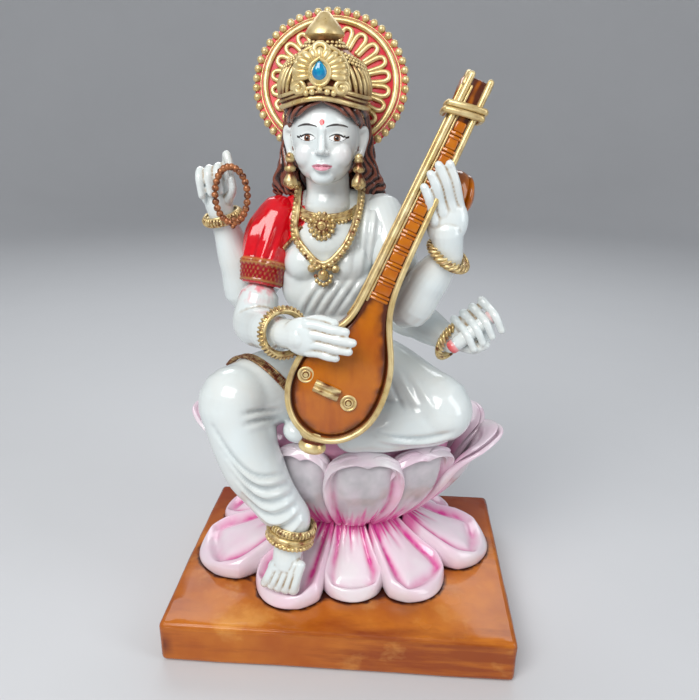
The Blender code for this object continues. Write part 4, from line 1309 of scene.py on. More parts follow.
def torsoFolds():
    for k in range(9):  # across the waist, every second one a valley
        ridge = k % 2 == 0
        route = swag((8 - 2.5 * k, -14, 160 - 0.5 * k), (-3 - 2.1 * k, -8, 142), -0.5, -1.0)
        yield route, 1.5 if ridge else 0.9, 1.15 if ridge else -0.7
    for k in range(4):  # down from the left shoulder
        yield (swag((4.4 + 3.3 * k, -3, 191), (2.6 + 3.0 * k, -15, 161), 0, 2.0), 1.0,
               (-0.6, 1.0, 1.0, 1.2)[k])
    yield swag((-27.5, -4, 167.5), (-15.7, -8, 182), 0.3, 6.5), 1.0, 0.8


def shinFold(share, slant, sag):
    middle = at["rightKnee"].lerp(at["rightAnkle"], share)
    reach = 15.5 - 8.0 * share
    return swag(middle + by(-reach, -7, slant), middle + by(reach, -6, -slant), sag, 8.0)


def legFolds():
    for k in range(10):  # swags down the lowered shin
        ridge = k % 2 == 1
        route = shinFold(0.30 + 0.062 * k, 10.5 - 1.25 * k, 5.2 - 0.2 * k)
        yield route, 1.2 - 0.04 * k, 1.2 if ridge else -1.4 + 0.07 * k
    for k in range(4):  # behind the lowered knee
        inner = at["rightKnee"] + by(7, -13, 1 - 2.3 * k)
        outer = at["rightKnee"] + by(18, 0, -3 - 1.6 * k)
        yield swag(inner, outer, -1.0, 1.5), 1.2, (-1.3, 0.9, -1.0, 0.7)[k]
    for k in range(3):  # along the folded shin and over its knee
        route = swag((15, -34, 102 - 2.5 * k), (45, -24, 99 - 2.5 * k), 3.5 - 0.5 * k, -1.0)
        yield route, 1.2, (-1.0, 1.4, -0.7)[k]
        yield swag((17 + 5 * k, -16, 121), (25 + 6 * k, -26, 109), -0.5, 1.0), 1.3, (-0.8, 0.7, 0.5)[k]


def seatFolds():
    for k in range(4):
        route = [(-30, 20, 112 - 5 * k), (-12, 33, 108 - 5.5 * k), (8, 33, 107 - 5.5 * k),
                 (26, 20, 110 - 5 * k)]
        yield route, 1.5, 1.0


def sleeveFolds():
    for k in range(4):
        route = swag((-37 + 4 * k, -9, 182 - k), (-42 + 3.6 * k, -17, 163), 0, 1.0)
        yield route, 1.2, (0.9, -0.6, 0.7, 0.6)[k]


def makeTorso():
    chest, waist, neck = at["chest"], at["waist"], at["neck"]
    parts = [addBall(chest, (19, 14.5, 17)), addBall(waist, (17, 14, 22))]
    for side in (-8.5, 8.5):
        parts.append(addBall(chest + by(side, -7.6, -2), (8.7, 9.0, 8.6)))
    parts.append(addBall(chest + by(0, -4, 6), (15, 11, 10)))
    parts.append(addBall((-8.5, -7.0, 154), (18.6, 12.0, 14.5)))
    parts.append(addBall((-7, -4.5, 140), (16, 12.0, 13)))
    parts.append(addBall((-17.5, -7.6, 158), (9.0, 9.0, 9.5)))
    parts.append(addBall((1.5, -8.6, 158), (9.0, 9.4, 9.5)))
    parts.append(addBall((9, -4.5, 173), (8.5, 9.5, 13)))
    yoke = [at["rightShoulder"] + by(3, 1, -1), at["leftShoulder"] + by(-2, 1, -1)]
    parts.append(addRoll(yoke, (8.8, 9.2), 20))
    parts.append(addRoll([neck + by(0, 2, -9), neck + by(0, 1, -2)], (11, 8.3), 24))
    parts.append(addRoll([neck + by(-2, 4, -2), at["rightShoulder"] + by(5, 2, 3)], (6.5, 6.0), 16))
    parts.append(addRoll([neck + by(2, 4, -2), at["leftShoulder"] + by(-4, 2, 3)], (6.5, 6.0), 16))
    parts.append(addRoll([(-9, 6, 182), (-8, 7.5, 165), (-6, 7, 145), (-4, 9, 118)], (13, 14.5, 13.5, 16),
                         28, 5))
    torso = fuseClay(parts, body["grain"], 14)
    for fold in torsoFolds():
        drawFold(torso, *fold, frontWay)
    for k in range(5):  # the sari's end falls over the left shoulder and down the back
        drape = [(10.5 + 2.2 * k, 8, 187), (4 + 3.2 * k, 20, 168), (-1 + 3.6 * k, 20, 148),
                 (-4 + 4.2 * k, 22, 122)]
        drawFold(torso, drape, 1.1, 1.3 if k in (0, 4) else 0.8, (0, -1, 0.1))
    spots = corners(torso)
    x, y, z = spots.T
    front = y < 2
    # above the sari's upper edge, which runs from under the arm to the collar
    line = (z - 168.4) - 1.236 * (x + 26.7)
    bare = (z > 186.5) & (np.abs(x + 8.5) < 10)
    behind = (y > 2) & (z > 157) & (z < 188) & (x < 1 + (z - 170) * 0.35)
    chestRed = within(line * 1.2 + 0.5)
    writeSpread(torso, "blouse", np.where(front & (x < -12.6) & ~bare, chestRed,
                                          np.where(behind, 1.0, 0.0)))
    writeHollows(torso, 3, 1.4)
    return finishPiece(torso, "sari_bodice", whiteGlaze, ["torso"])


def makeLegs():
    knee, ankle = at["rightKnee"], at["rightAnkle"]
    hipRight, hipLeft = Vector((-17, 3, 110)), Vector((13, 2, 111))
    middle = knee.lerp(ankle, 0.45) + by(-3.2, -2.2, 0)
    parts = [addBall(at["hips"], (31, 24, 20), segments=40, rings=24)]
    thigh = [hipRight, knee.lerp(hipRight, 0.45) + by(0, 0, 1), knee.lerp(hipRight, 0.08)]
    parts.append(addRoll(thigh, (17, 16.4, 15.3), 28, 6))
    shin = [knee, knee.lerp(ankle, 0.2) + by(-2, -1, 0), middle,
            knee.lerp(ankle, 0.75) + by(-0.6, -1, 0), ankle + by(0, 0, 7), ankle]
    parts.append(addRoll(shin, (15.2, 14.2, 12.9, 10.2, 8.4, 7.4), 28, 6))
    parts.append(addBall((-19.5, -27, 97.5), (5.4, 5.6, 4.6), (0, 25, 20)))
    parts.append(addBall(knee + by(1, -1, 2), (14.5, 14, 13.5)))
    parts.append(addRoll([hipLeft, at["leftKnee"]], (18.5, 14.5), 28, 6))
    parts.append(addRoll([at["leftKnee"] + by(-1, -1, -4), Vector((20, -22, 99)), at["leftHeel"]],
                         (12.2, 10.5, 8), 24, 6))
    parts.append(addBall(at["leftKnee"] + by(1, -1, -1), (14, 13.5, 13.5)))
    legs = fuseClay(parts, 0.72, 16)
    for path, width, height in seatFolds():
        drawFold(legs, path, width, height, (0, -1, 0))
    for path, width, height in legFolds():
        drawFold(legs, path, width, height, frontWay)
    writeHollows(legs, 3, 1.6)
    return finishPiece(legs, "dhoti", whiteGlaze, ["hips", "right_leg", "left_leg"])


def fingerParts(routes, size):
    parts = []
    for route in routes:
        route = [Vector(p) for p in route]
        count = len(route) - 1
        parts.append(addRoll(route, [size * (1.06 - 0.2 * i / count) for i in range(count + 1)], 12, 5))
    return parts


def nailSpots(hand, routes, facing, size):
    # a faint raised nail near the end of each finger
    for route in routes:
        tip, before = Vector(route[-1]), Vector(route[-2])
        along = (tip - before).normalized()
        out = (Vector(facing) - along * along.dot(Vector(facing))).normalized()
        spot = tip - along * 0.1 + out * size * 1.2
        pushSpot(hand, spot, (0.85, 0.85, 0.85), tuple(out * 0.22), 4.0)


def makeArm(armPath, armSizes, palmParts, fingers, facing, size):
    parts = [addRoll(armPath, armSizes, 24, 6)] + palmParts + fingerParts(fingers, size)
    arm = fuseClay(parts, body["handGrain"], 7, 0.45)
    nailSpots(arm, fingers, facing, size * 0.9)
    writeHollows(arm, 2, 1.5)
    return arm


def makeArms():
    elbow, wrist = at["rightElbow"], at["rightWrist"]
    high = at["rightShoulder"].lerp(elbow, 0.8)
    fingers = []
    knuckles = ((-7.0, -51.6, 151.6), (-5.8, -52.6, 148.2), (-5.8, -52.6, 144.7), (-6.8, -51.8, 141.5))
    tips = ((2.9, -53.6, 150.2), (5.4, -54.4, 146.6), (4.0, -54.2, 143.2), (-0.6, -53.4, 140.4))
    for base, tip in zip(knuckles, tips):
        base, tip = Vector(base), Vector(tip)
        fingers.append((base + by(-4, 1.2, 0), base, base.lerp(tip, 0.5) + by(0, -0.9, 0.1), tip))
    palm = [addBall((-12.2, -48.8, 146.4), (8.6, 4.2, 7.3), (0, 0, -14)),
            addRoll([wrist, (-14, -48, 146.3)], (5.6, 5.2), 20),
            addRoll([(-14, -46.5, 150), (-7.5, -48.6, 152.6), (-1.5, -49.4, 151.9)], (2.6, 2.2, 1.8), 14)]
    route = [high, elbow, elbow.lerp(wrist, 0.5) + by(-0.5, 0, -0.6), wrist]
    arm = makeArm(route, (8.6, 8.8, 8.0, 5.4), palm, fingers, (0.1, -1, 0.2), body["pluckingFinger"])
    spots = corners(arm)
    drip = within(grainAt(spots * np.array((1, 1, 0.35)), 3.2, 5) * 3.2 - 1.25)
    underSleeve = within((spots[:, 2] - 149) / 5) * within((167 - spots[:, 2]) / 3) * (spots[:, 0] < -29)
    writeSpread(arm, "smear", drip * underSleeve)
    finishPiece(arm, "plucking_arm", skinFinish, ["front_right_forearm", "front_right_hand"])

    shoulder, elbow, wrist = at["leftShoulder"], at["leftElbow"], at["leftWrist"]
    fingers = []
    knuckles = ((41, -32.4, 192.6), (37.6, -34.2, 194), (34, -35, 193.2), (31, -35.2, 190.2))
    tips = ((36.6, -36.0, 206), (32.8, -36.6, 205.6), (30.2, -37, 202.6), (28.2, -37.2, 198.2))
    for base, tip in zip(knuckles, tips):
        base, tip = Vector(base), Vector(tip)
        fingers.append((base + by(1.4, 0.8, -4), base, base.lerp(tip, 0.5) + by(0.4, -0.9, 0.2), tip))
    palm = [addBall((37.2, -31.5, 185.6), (7.6, 4.3, 9), (0, 9, 0)),
            addRoll([wrist, (37.4, -31, 182)], (5.6, 6.0), 20)]
    route = [shoulder, shoulder.lerp(elbow, 0.6), elbow, elbow.lerp(wrist, 0.5), wrist]
    arm = makeArm(route, (9.5, 9, 8.6, 7.8, 5.5), palm, fingers, (0, -1, 0.2), body["finger"])
    finishPiece(arm, "fretting_arm", skinFinish, ["front_left_arm", "front_left_hand"])

    shoulder, elbow, wrist = at["rearRightShoulder"], at["rearRightElbow"], at["rearRightWrist"]
    fingers = []
    for i in range(3):
        side = -59.2 + 3.7 * i
        fingers.append(((side + 1, -2.5, 194), (side, -3.2, 199.4 + 0.8 * i), (side + 0.3, -7.4, 197 + i),
                        (side + 1, -7.4, 190 + i)))
    fingers.append(((-49.5, -2, 194), (-48.6, -3.5, 201), (-47.9, -6, 206), (-45.8, -8, 200)))
    fingers.append(((-50, -2.5, 187), (-47.4, -5, 189.5), (-45.6, -7.6, 193), (-45.8, -8.6, 197)))
    palm = [addBall((-54, -1, 192), (7.2, 4.6, 9)), addRoll([wrist, (-53.4, -1, 187)], (5.4, 5.8), 20)]
    route = [shoulder, elbow, elbow.lerp(wrist, 0.4), wrist]
    arm = makeArm(route, (9, 8.6, 8, 5.2), palm, fingers, (0, -1, 0), body["finger"])
    finishPiece(arm, "bead_arm", skinFinish, ["rear_right_arm", "rear_right_hand"])

    shoulder, elbow, wrist = at["rearLeftShoulder"], at["rearLeftElbow"], at["rearLeftWrist"]
    fingers = []
    for i in range(4):
        base = Vector((46.2 + 3.4 * i, -17, 142.2 + 2.7 * i))
        fingers.append((base + by(-2.4, 2.5, 2.0), base, base + by(2.2, -5.4, -1.8),
                        base + by(5.2, -5.2, -7.8)))
    palm = [addBall((51.2, -14.6, 138.8), (9.4, 5, 8), (0, -40, 0)),
            addRoll([wrist, (48, -13.5, 137)], (5.4, 5.8), 20),
            addRoll([(47, -15, 134), (51.5, -19, 133.5), (56, -21, 136)], (2.7, 2.3, 1.9), 14)]
    route = [shoulder, elbow, elbow.lerp(wrist, 0.5), wrist]
    arm = makeArm(route, (9, 8.6, 7.6, 5.4), palm, fingers, (0.3, -1, 0), body["finger"])
    finishPiece(arm, "book_arm", skinFinish, ["rear_left_arm", "rear_left_hand"])


def makeFoot():
    ankle = at["rightAnkle"]
    toes = Vector((-25.5, -40.5, 29.6))
    parts = [addRoll([ankle + by(0, 1, 0), ankle + by(-1, -2, -8), ankle + by(-1.6, -4, -13)],
                     (6.8, 6.4, 6.2), 20)]
    parts.append(addBall(ankle.lerp(toes, 0.68) + by(0.2, 2.4, -1.0), (7.4, 6.4, 4.8), (-42, 0, 0)))
    parts.append(addBall(ankle + by(-1, 3, -17), (5.6, 6.5, 5.0)))
    routes = []
    for i in range(5):
        tip = toes + by(-6.6 + 3.15 * i, 2.8 - 1.5 * i + 0.2 * i * i, -0.2)
        base = ankle + by(-5.0 + 2.5 * i, -5.6 - 0.5 * i, -12.0)
        routes.append((base, base.lerp(tip, 0.4) + by(0, -0.4, 0.8),
                       base.lerp(tip, 0.78) + by(0, -0.8, 0.8), tip))
        parts.append(addRoll(routes[-1], (2.3, 2.2 + 0.06 * i, 2.0 + 0.12 * i, 2.2 + 0.16 * i), 14, 5))
    foot = fuseClay(parts, 0.42, 2, 0.45)
    for first, second in zip(routes, routes[1:]):
        drawFold(foot, [(first[k] + second[k]) / 2 for k in range(1, 4)], 0.5, -0.5, frontWay)
    nailSpots(foot, routes, (0, -0.7, 0.9), 1.5)
    writeHollows(foot, 2, 1.3)
    finishPiece(foot, "bare_foot", skinFinish, ["foot"])


def makeSleeve():
    shoulder, elbow = at["rightShoulder"], at["rightElbow"]
    cuff = shoulder.lerp(elbow, 0.56)
    route = [shoulder + by(2.5, 0.5, 0.5), shoulder.lerp(cuff, 0.3) + by(-0.6, 0, 0),
             shoulder.lerp(cuff, 0.7), cuff]
    sleeve = fuseClay([addRoll(route, (9.6, 10.2, 9.8, 8.8), 28, 6)], 0.5, 8)
    axis = (elbow - shoulder).normalized()
    spots = corners(sleeve)
    along = (spots - np.array(shoulder)) @ np.array(axis)
    length = (cuff - shoulder).length
    hem = length + 3.0
    past = along > hem  # the far end is flattened into a hem
    spots[past] -= np.outer(along[past] - hem, np.array(axis)) * 0.9
    setCorners(sleeve, spots)
    for fold in sleeveFolds():
        drawFold(sleeve, *fold, frontWay)
    spots, faces = corners(sleeve), normals(sleeve)
    along = (spots - np.array(shoulder)) @ np.array(axis)
    band = (along > length - 6.0) & (along < length + 2.2)
    turnAxis = axis.cross(Vector((0, 1, 0))).normalized()
    other = axis.cross(turnAxis)
    local = spots - np.array(shoulder)
    around = np.arctan2(local @ np.array(turnAxis), local @ np.array(other))
    lace = np.abs(np.sin(around * 15 + along * 0.95)) + np.abs(np.sin(around * 15 - along * 0.95))
    threads = within(1.15 - lace)
    lines = sum(bell(along - (length + d), 0.42) for d in (-6.2, -4.9, 1.8))
    lift = np.where(band, 0.45 + 0.35 * threads, 0) + 0.4 * lines
    setCorners(sleeve, spots + faces * lift[:, None])
    writeSpread(sleeve, "lace", within(np.where(band, threads * 1.2, 0) + lines))
    writeSpread(sleeve, "band", np.where(band, 1.0, 0.0))
    writeHollows(sleeve, 3, 1.0)
    finishPiece(sleeve, "blouse_sleeve", redEnamel, ["sleeve"])


skinFinish = newFinish("skinGlaze", s["white"], s["whiteWarm"], 60.0, (0.12, 0.24), (0.36, 0.27, 0.17), 1.0,
                       coat=0.45, ripple=0.05)
paint(skinFinish, "smear", (0.80, 0.10, 0.16), 0.7)
paint(whiteGlaze, "blouse", s["red"], 1.0)
paint(redEnamel, "band", s["redDark"], 0.72)
paint(redEnamel, "lace", (0.42, 0.22, 0.06), 0.9)
makeTorso()
makeLegs()
makeArms()
makeFoot()
makeSleeve()
print("figure modelled")

face = {"grain": 0.33, "eyeSide": 5.4, "eyeUp": 0.9, "eyeHalf": 3.1, "browUp": 5.0, "mouthUp": -8.9}


def stepMask(tree, name, limit, soft=0.06):
    # 1 where the named distance is under the limit, with a crisp edge
    return reckon(tree, "MULTIPLY_ADD", spread(tree, name), -1 / soft, limit / soft + 0.5, clamp=True)


def faceFinish():
    finish = newFinish("faceGlaze", s["white"], (0.74, 0.76, 0.74), 60.0, (0.14, 0.26), (0.45, 0.42, 0.40),
                       0.5, coat=0.4, ripple=0.03)
    tree = finish.node_tree
    paint(finish, "blush", (0.80, 0.48, 0.50), 0.15)
    paint(finish, stepMask(tree, "lips", 0.0, 0.25), (0.72, 0.20, 0.30), 0.8)
    paint(finish, stepMask(tree, "lipLine", 0.13, 0.12), (0.30, 0.03, 0.06), 0.85)
    paint(finish, stepMask(tree, "eyeOpen", 0.0, 0.12), (0.86, 0.88, 0.88), 1.0)
    paint(finish, stepMask(tree, "iris", 1.25, 0.12), (0.16, 0.055, 0.02), 1.0)
    paint(finish, stepMask(tree, "iris", 0.66, 0.10), (0.006, 0.004, 0.004), 1.0)
    paint(finish, stepMask(tree, "glint", 0.22, 0.08), (0.95, 0.95, 0.95), 1.0)
    paint(finish, stepMask(tree, "lash", 0.27, 0.12), (0.012, 0.006, 0.006), 1.0)
    paint(finish, stepMask(tree, "brow", 0.40, 0.16), (0.018, 0.008, 0.008), 0.95)
    paint(finish, stepMask(tree, "bindi", 0.95, 0.14), (0.62, 0.004, 0.012), 1.0)
    return finish


def paintFace(head):
    spots = corners(head) - np.array(at["head"])
    x, y, z = spots.T
    front = y < -4
    far = 50.0
    eye, iris, lash, brow, glint = (np.full(len(x), far) for _ in range(5))
    for side in (-1, 1):
        dx = (x - side * face["eyeSide"]) * side
        dz = z - face["eyeUp"] + 0.05 * dx
        half = face["eyeHalf"]
        shape = np.clip(1 - (dx / half) ** 2, -3, 1)
        upper, lower = 1.42 * np.sign(shape) * np.abs(shape) ** 0.8, -0.98 * shape
        eye = np.minimum(eye, np.maximum(dz - upper, lower - dz))
        ball = np.hypot(dx - 0.1, dz - 0.12)
        iris = np.minimum(iris, np.maximum(ball, (np.maximum(dz - upper, lower - dz) + 0.02) * 8))
        glint = np.minimum(glint, np.hypot((x - side * face["eyeSide"]) + 0.35, dz - 0.5))
        inEye = np.abs(dx) < half + 1.3
        wing = (1.42 * np.sign(shape) * np.abs(shape) ** 0.8
                + np.where(dx > half * 0.8, (dx - half * 0.8) * 0.75 + 0.25, 0))
        line = (np.abs(dz - np.where(dx > half, 0.35 + (dx - half) * 0.28, wing))
                - 0.10 * np.clip(dx / half, -1, 1))
        lash = np.minimum(lash, np.where(inEye & (dx > -half), line, far))
        low = np.abs(dz - lower) + 0.14
        lash = np.minimum(lash, np.where(np.abs(dx) < half, low, far))
        arch = face["browUp"] - face["eyeUp"] + 0.75 * (1 - ((dx - 0.4) / 3.6) ** 2)
        taper = 0.20 * np.clip((np.abs(dx - 0.2) - 1.2) / 2.6, 0, 1.5)
        brow = np.minimum(brow, np.where(np.abs(dx - 0.1) < 3.9, np.abs(dz - arch) + taper, far))
    mouth = face["mouthUp"]
    wide = 3.9
    u = np.clip(1 - (x / wide) ** 2, -2, 1)
    top = mouth + 1.15 * np.sign(u) * np.abs(u) ** 0.9 - 0.42 * bell(x, 0.75)
    bottom = mouth - 1.5 * np.sign(u) * np.abs(u) ** 0.75
    lips = np.maximum(z - top, bottom - z)
    middleLine = mouth + 0.12 * np.cos(x * 1.3) + 0.05 * np.abs(x)
    lipLine = np.where(np.abs(x) < wide, np.abs(z - middleLine), far)
    bindi = np.hypot(x, (z - 6.6) * 0.9)
    fields = {"eyeOpen": eye, "iris": iris, "lash": lash, "brow": brow, "glint": glint, "lips": lips,
              "lipLine": lipLine, "bindi": bindi}
    for name, values in fields.items():
        writeSpread(head, name, np.where(front, values, far))
    cheek = sum(np.exp(-(((x - side * 7.6) / 3.2) ** 2 + ((z + 4.6) / 3.0) ** 2)) for side in (-1, 1))
    writeSpread(head, "blush", np.where(front, cheek, 0))


def makeHead():
    head, neck = at["head"], at["neck"]
    parts = [addBall(head + by(0, 1, 2), (13.2, 14, 16), segments=40, rings=26)]
    parts.append(addBall(head + by(0, -3.2, -7.0), (10.6, 9.8, 9.0), segments=36, rings=24))
    parts.append(addRoll([neck + by(0, 1, -4), neck + by(0, 1.5, 4), head + by(0, 2, -8)], (9.6, 8.6, 8.6),
                         28))
    parts.append(addBall(head + by(0, -9.2, -12.6), (4.8, 3.4, 3.6)))
    for side in (-1, 1):
        parts.append(addBall(head + by(6.0 * side, -7.6, -5.2), (4.9, 4.9, 5.2)))
        rim = ((13.0 * side, 0.2, -7.2), (14.2 * side, 1.0, -3.5), (15.4 * side, 2.0, 1.0),
               (15.0 * side, 1.4, 4.0), (13.4 * side, 0.2, 3.6))
        parts.append(addRoll([head + Vector(spot) for spot in rim], (1.5, 1.35, 1.35, 1.3, 1.2), 14, 5))
        parts.append(addBall(head + by(13.6 * side, 1.4, -1.2), (1.5, 1.6, 4.4)))
    skull = fuseClay(parts, face["grain"], 16)
    nose = ((0, -11.9, 4.0), (0, -12.7, 1.2), (0, -13.8, -1.6), (0, -14.5, -3.2))
    trims = [addRoll([head + Vector(p) for p in nose], (1.8, 1.5, 1.5, 1.6), 16)]
    for side in (-1, 1):
        trims.append(addBall(head + by(1.6 * side, -13.4, -3.8), (1.15, 1.35, 1.0)))
    lipUp, lipLow = face["mouthUp"] + 0.7, face["mouthUp"] - 0.85
    for side in (-1, 1):
        path = ((0.0, -13.55, lipUp + 0.05), (1.0 * side, -13.6, lipUp + 0.2),
                (2.3 * side, -12.9, lipUp - 0.25), (3.4 * side, -12.0, lipUp - 0.7))
        trims.append(addRoll([head + Vector(p) for p in path], (0.8, 0.82, 0.68, 0.35), 12))
    path = ((-3.0, -12.0, lipLow + 0.35), (-1.6, -13.0, lipLow - 0.05), (0, -13.5, lipLow - 0.2),
            (1.6, -13.0, lipLow - 0.05), (3.0, -12.0, lipLow + 0.35))
    trims.append(addRoll([head + Vector(p) for p in path], (0.4, 0.9, 1.05, 0.9, 0.4), 12))
    skull = fuseClay([skull] + trims, face["grain"], 3)
    for side in (-1, 1):
        eye = head + by(face["eyeSide"] * side, -12.4, face["eyeUp"])
        pushSpot(skull, eye + by(-0.4 * side, 0, 0.9), (3.5, 4, 2.3), (0, 1.25, 0))
        pushSpot(skull, eye, (2.3, 4, 1.35), (0, -0.95, 0))
        lid = [eye + by(a * side, 0, 1.7 * (1 - (a / 3.2) ** 2) + 0.2) for a in (-2.9, -1.5, 0, 1.5, 2.9)]
        drawFoldFlat(skull, lid, 0.42, 0.34)
        under = [eye + by(a * side, 0, -1.3 * (1 - (a / 3.2) ** 2)) for a in (-2.6, -1.3, 0, 1.3, 2.6)]
        drawFoldFlat(skull, under, 0.4, 0.2)
        brow = [eye + by(a * side, 0, 4.1 + 0.75 * (1 - ((a - 0.4) / 3.6) ** 2))
                for a in (-3.4, -1.7, 0, 1.7, 3.6)]
        drawFoldFlat(skull, brow, 0.9, 0.35)
        pushSpot(skull, head + by(0.85 * side, -14.0, -4.7), (0.45, 0.8, 0.35), (0, 0.4, 0.3))
    drawFoldFlat(skull, [head + by(x, -13, face["mouthUp"] + 0.05) for x in (-3.5, -1.6, 0, 1.6, 3.5)],
                 0.36, -0.5)
    drawFoldFlat(skull, [head + by(0, -13, -5.8), head + by(0, -13, -7.4)], 0.55, -0.25)
    pushSpot(skull, head + by(0, -12.6, -12.0), (2.6, 2.5, 1.0), (0, 0.25, 0))
    for drop in (1.5, -1.8):
        ring = [neck + by(9 * sin(a), -9.4 * cos(a), drop + 1.0 * cos(a) - 1)
                for a in (-1.2, -0.6, 0, 0.6, 1.2)]
        drawFold(skull, ring, 0.5, -0.22)
    paintFace(skull)
    writeHollows(skull, 3, 0.7)
    return finishPiece(skull, "calm_head", faceFinish(), ["head"])


def drawFoldFlat(obj, points, width, height):
    # a fold drawn straight onto the front of the face, whatever its depth there
    route, _ = smoothRoute([(p[0], 0, p[2]) for p in points], 1.0, 6)
    spots, faces = corners(obj), normals(obj)
    flat = spots.copy()
    flat[:, 1] = 0
    away, share = distanceToRoute(flat, route)
    fade = np.sin(np.pi * np.clip(share, 0.05, 0.95)) ** 0.5
    lift = (height * fade * np.exp(-((away / width) ** 2)) * (faces[:, 1] < -0.2)
            * (spots[:, 1] < at["head"].y - 6))
    setCorners(obj, spots + faces * lift[:, None])


hairDress = {"strand": 1.55, "strandsPerSide": 11}


def makeHair():
    head = at["head"]
    parts = [addBall(head + by(0, 5.5, 1), (15.4, 11.0, 17), segments=40, rings=24)]
    for side, end in ((-1, Vector((-27.5, 2.5, 190))), (1, Vector((11.5, 3.5, 190)))):
        for i in range(hairDress["strandsPerSide"]):
            t = i / (hairDress["strandsPerSide"] - 1)
            start = head + by(0.6 * side, -12.2 + 2.0 * t, 14.6 + 0.8 * t)
            temple = head + by((10.2 + 2.2 * t) * side, -9.0 + 5.5 * t, 9.2 + 3 * t)
            ear = head + by((12.9 + 2.2 * t) * side, 0.2 + 5.2 * t, 5.4 + 2.0 * t)
            back = head + by((14.0 + 2.6 * t) * side, 5.4 + 3.0 * t, -2 + 1.0 * t)
            jaw = head + by((13.2 + 5.6 * t + 0.9 * sin(i * 2.4)) * side, 4.4 + 3.4 * t, -11.5)
            drift = Vector((1.4 * sin(i * 1.9), 1.2 * cos(i * 1.3), 1.5 * sin(i * 3.1)))
            tail = end + by((-4.5 + 7.5 * t) * side, 3.5 * (t - 0.5), 1.5 - 3.0 * abs(t - 0.5)) + drift
            mid = jaw.lerp(tail, 0.5) + by(1.5 * sin(i * 1.7) * side, -0.8 * cos(i * 2.1), 0)
            size = hairDress["strand"]
            sizes = [size * share for share in (0.75, 0.9, 1, 1.1, 1.15, 1, 0.55)]
            parts.append(addRoll([start, temple, ear, back, jaw, mid, tail], sizes, 10, 6))
    for i in range(15):
        a = radians(-78 + 156 * i / 14)
        top = head + by(14.6 * sin(a), 5.5 + 10.6 * cos(a), 10)
        low = head + by(15.5 * sin(a), 6.5 + 8.8 * cos(a), -10)
        fall = head + by(14.0 * sin(a) + sin(i * 2.2), 7.5 + 9.5 * cos(a), -22 + 1.5 * sin(i * 1.7))
        tail = head + by(10.5 * sin(a) + 1.4 * sin(i * 2.2), 8.5 + 13.0 * cos(a) ** 0.5,
                         -29 - 3 * cos(a) + 1.8 * sin(i * 1.7))
        route = [top, low, fall, tail] if abs(a) < 1.15 else [top, low, fall]
        parts.append(addRoll(route, [2.0, 2.2, 2.0, 0.9][:len(route)], 10, 8))
    hair = fuseClay(parts, 0.52, 3)
    spots = corners(hair) - np.array(head)
    flow = (np.arctan2(spots[:, 0], -spots[:, 1] + 14) * 34
            + 2.6 * np.sin(spots[:, 2] * 0.42 + spots[:, 0] * 0.2))
    flow += 2.4 * grainAt(corners(hair), 8, 2)
    crest = (spots[:, 2] > 6) & (spots[:, 1] < 2)  # over the forehead the locks follow the hairline instead
    flow = np.where(crest, np.hypot(spots[:, 0] * 0.9, spots[:, 2] - 4) * 2.2, flow)
    groove = 0.5 + 0.5 * np.sin(flow * 1.35)
    setCorners(hair, corners(hair) + normals(hair) * (0.62 * (groove - 0.6))[:, None])
    writeHollows(hair, 2, 1.2)
    # darker in the grooves between the strands: the hair's wash there, and painted shade
    writeSpread(hair, "hollow", within(readSpread(hair, "hollow") * 0.7 + 1.25 * (0.62 - groove)))
    finishPiece(hair, "waved_hair", hairPaint, ["hair"])


crown = {"centre": (-9.5, -4.0, 225.0), "pleats": 12, "boss": 9.9, "ribs": 13}
crownAt = Vector(crown["centre"])


def crownRadius(height):
    profile = ((-3, 15.9), (0, 16.6), (4, 16.9), (9, 16.0), (13, 14.2), (16.5, 11.2), (19, 8.2), (21, 6.2))
    for (h0, r0), (h1, r1) in zip(profile, profile[1:]):
        if height <= h1:
            t = max(0, (height - h0) / (h1 - h0))
            return r0 + (r1 - r0) * t
    return profile[-1][1]


def onCrown(angle, height, lift=0.0):
    # angle 0 is the front, positive to the right of the figure as seen from the front
    a = radians(angle)
    radius = crownRadius(height) + lift
    return crownAt + by(radius * sin(a), -radius * cos(a), height)


def archRise(angle):
    return 3.4 * bell(angle, 42.0)


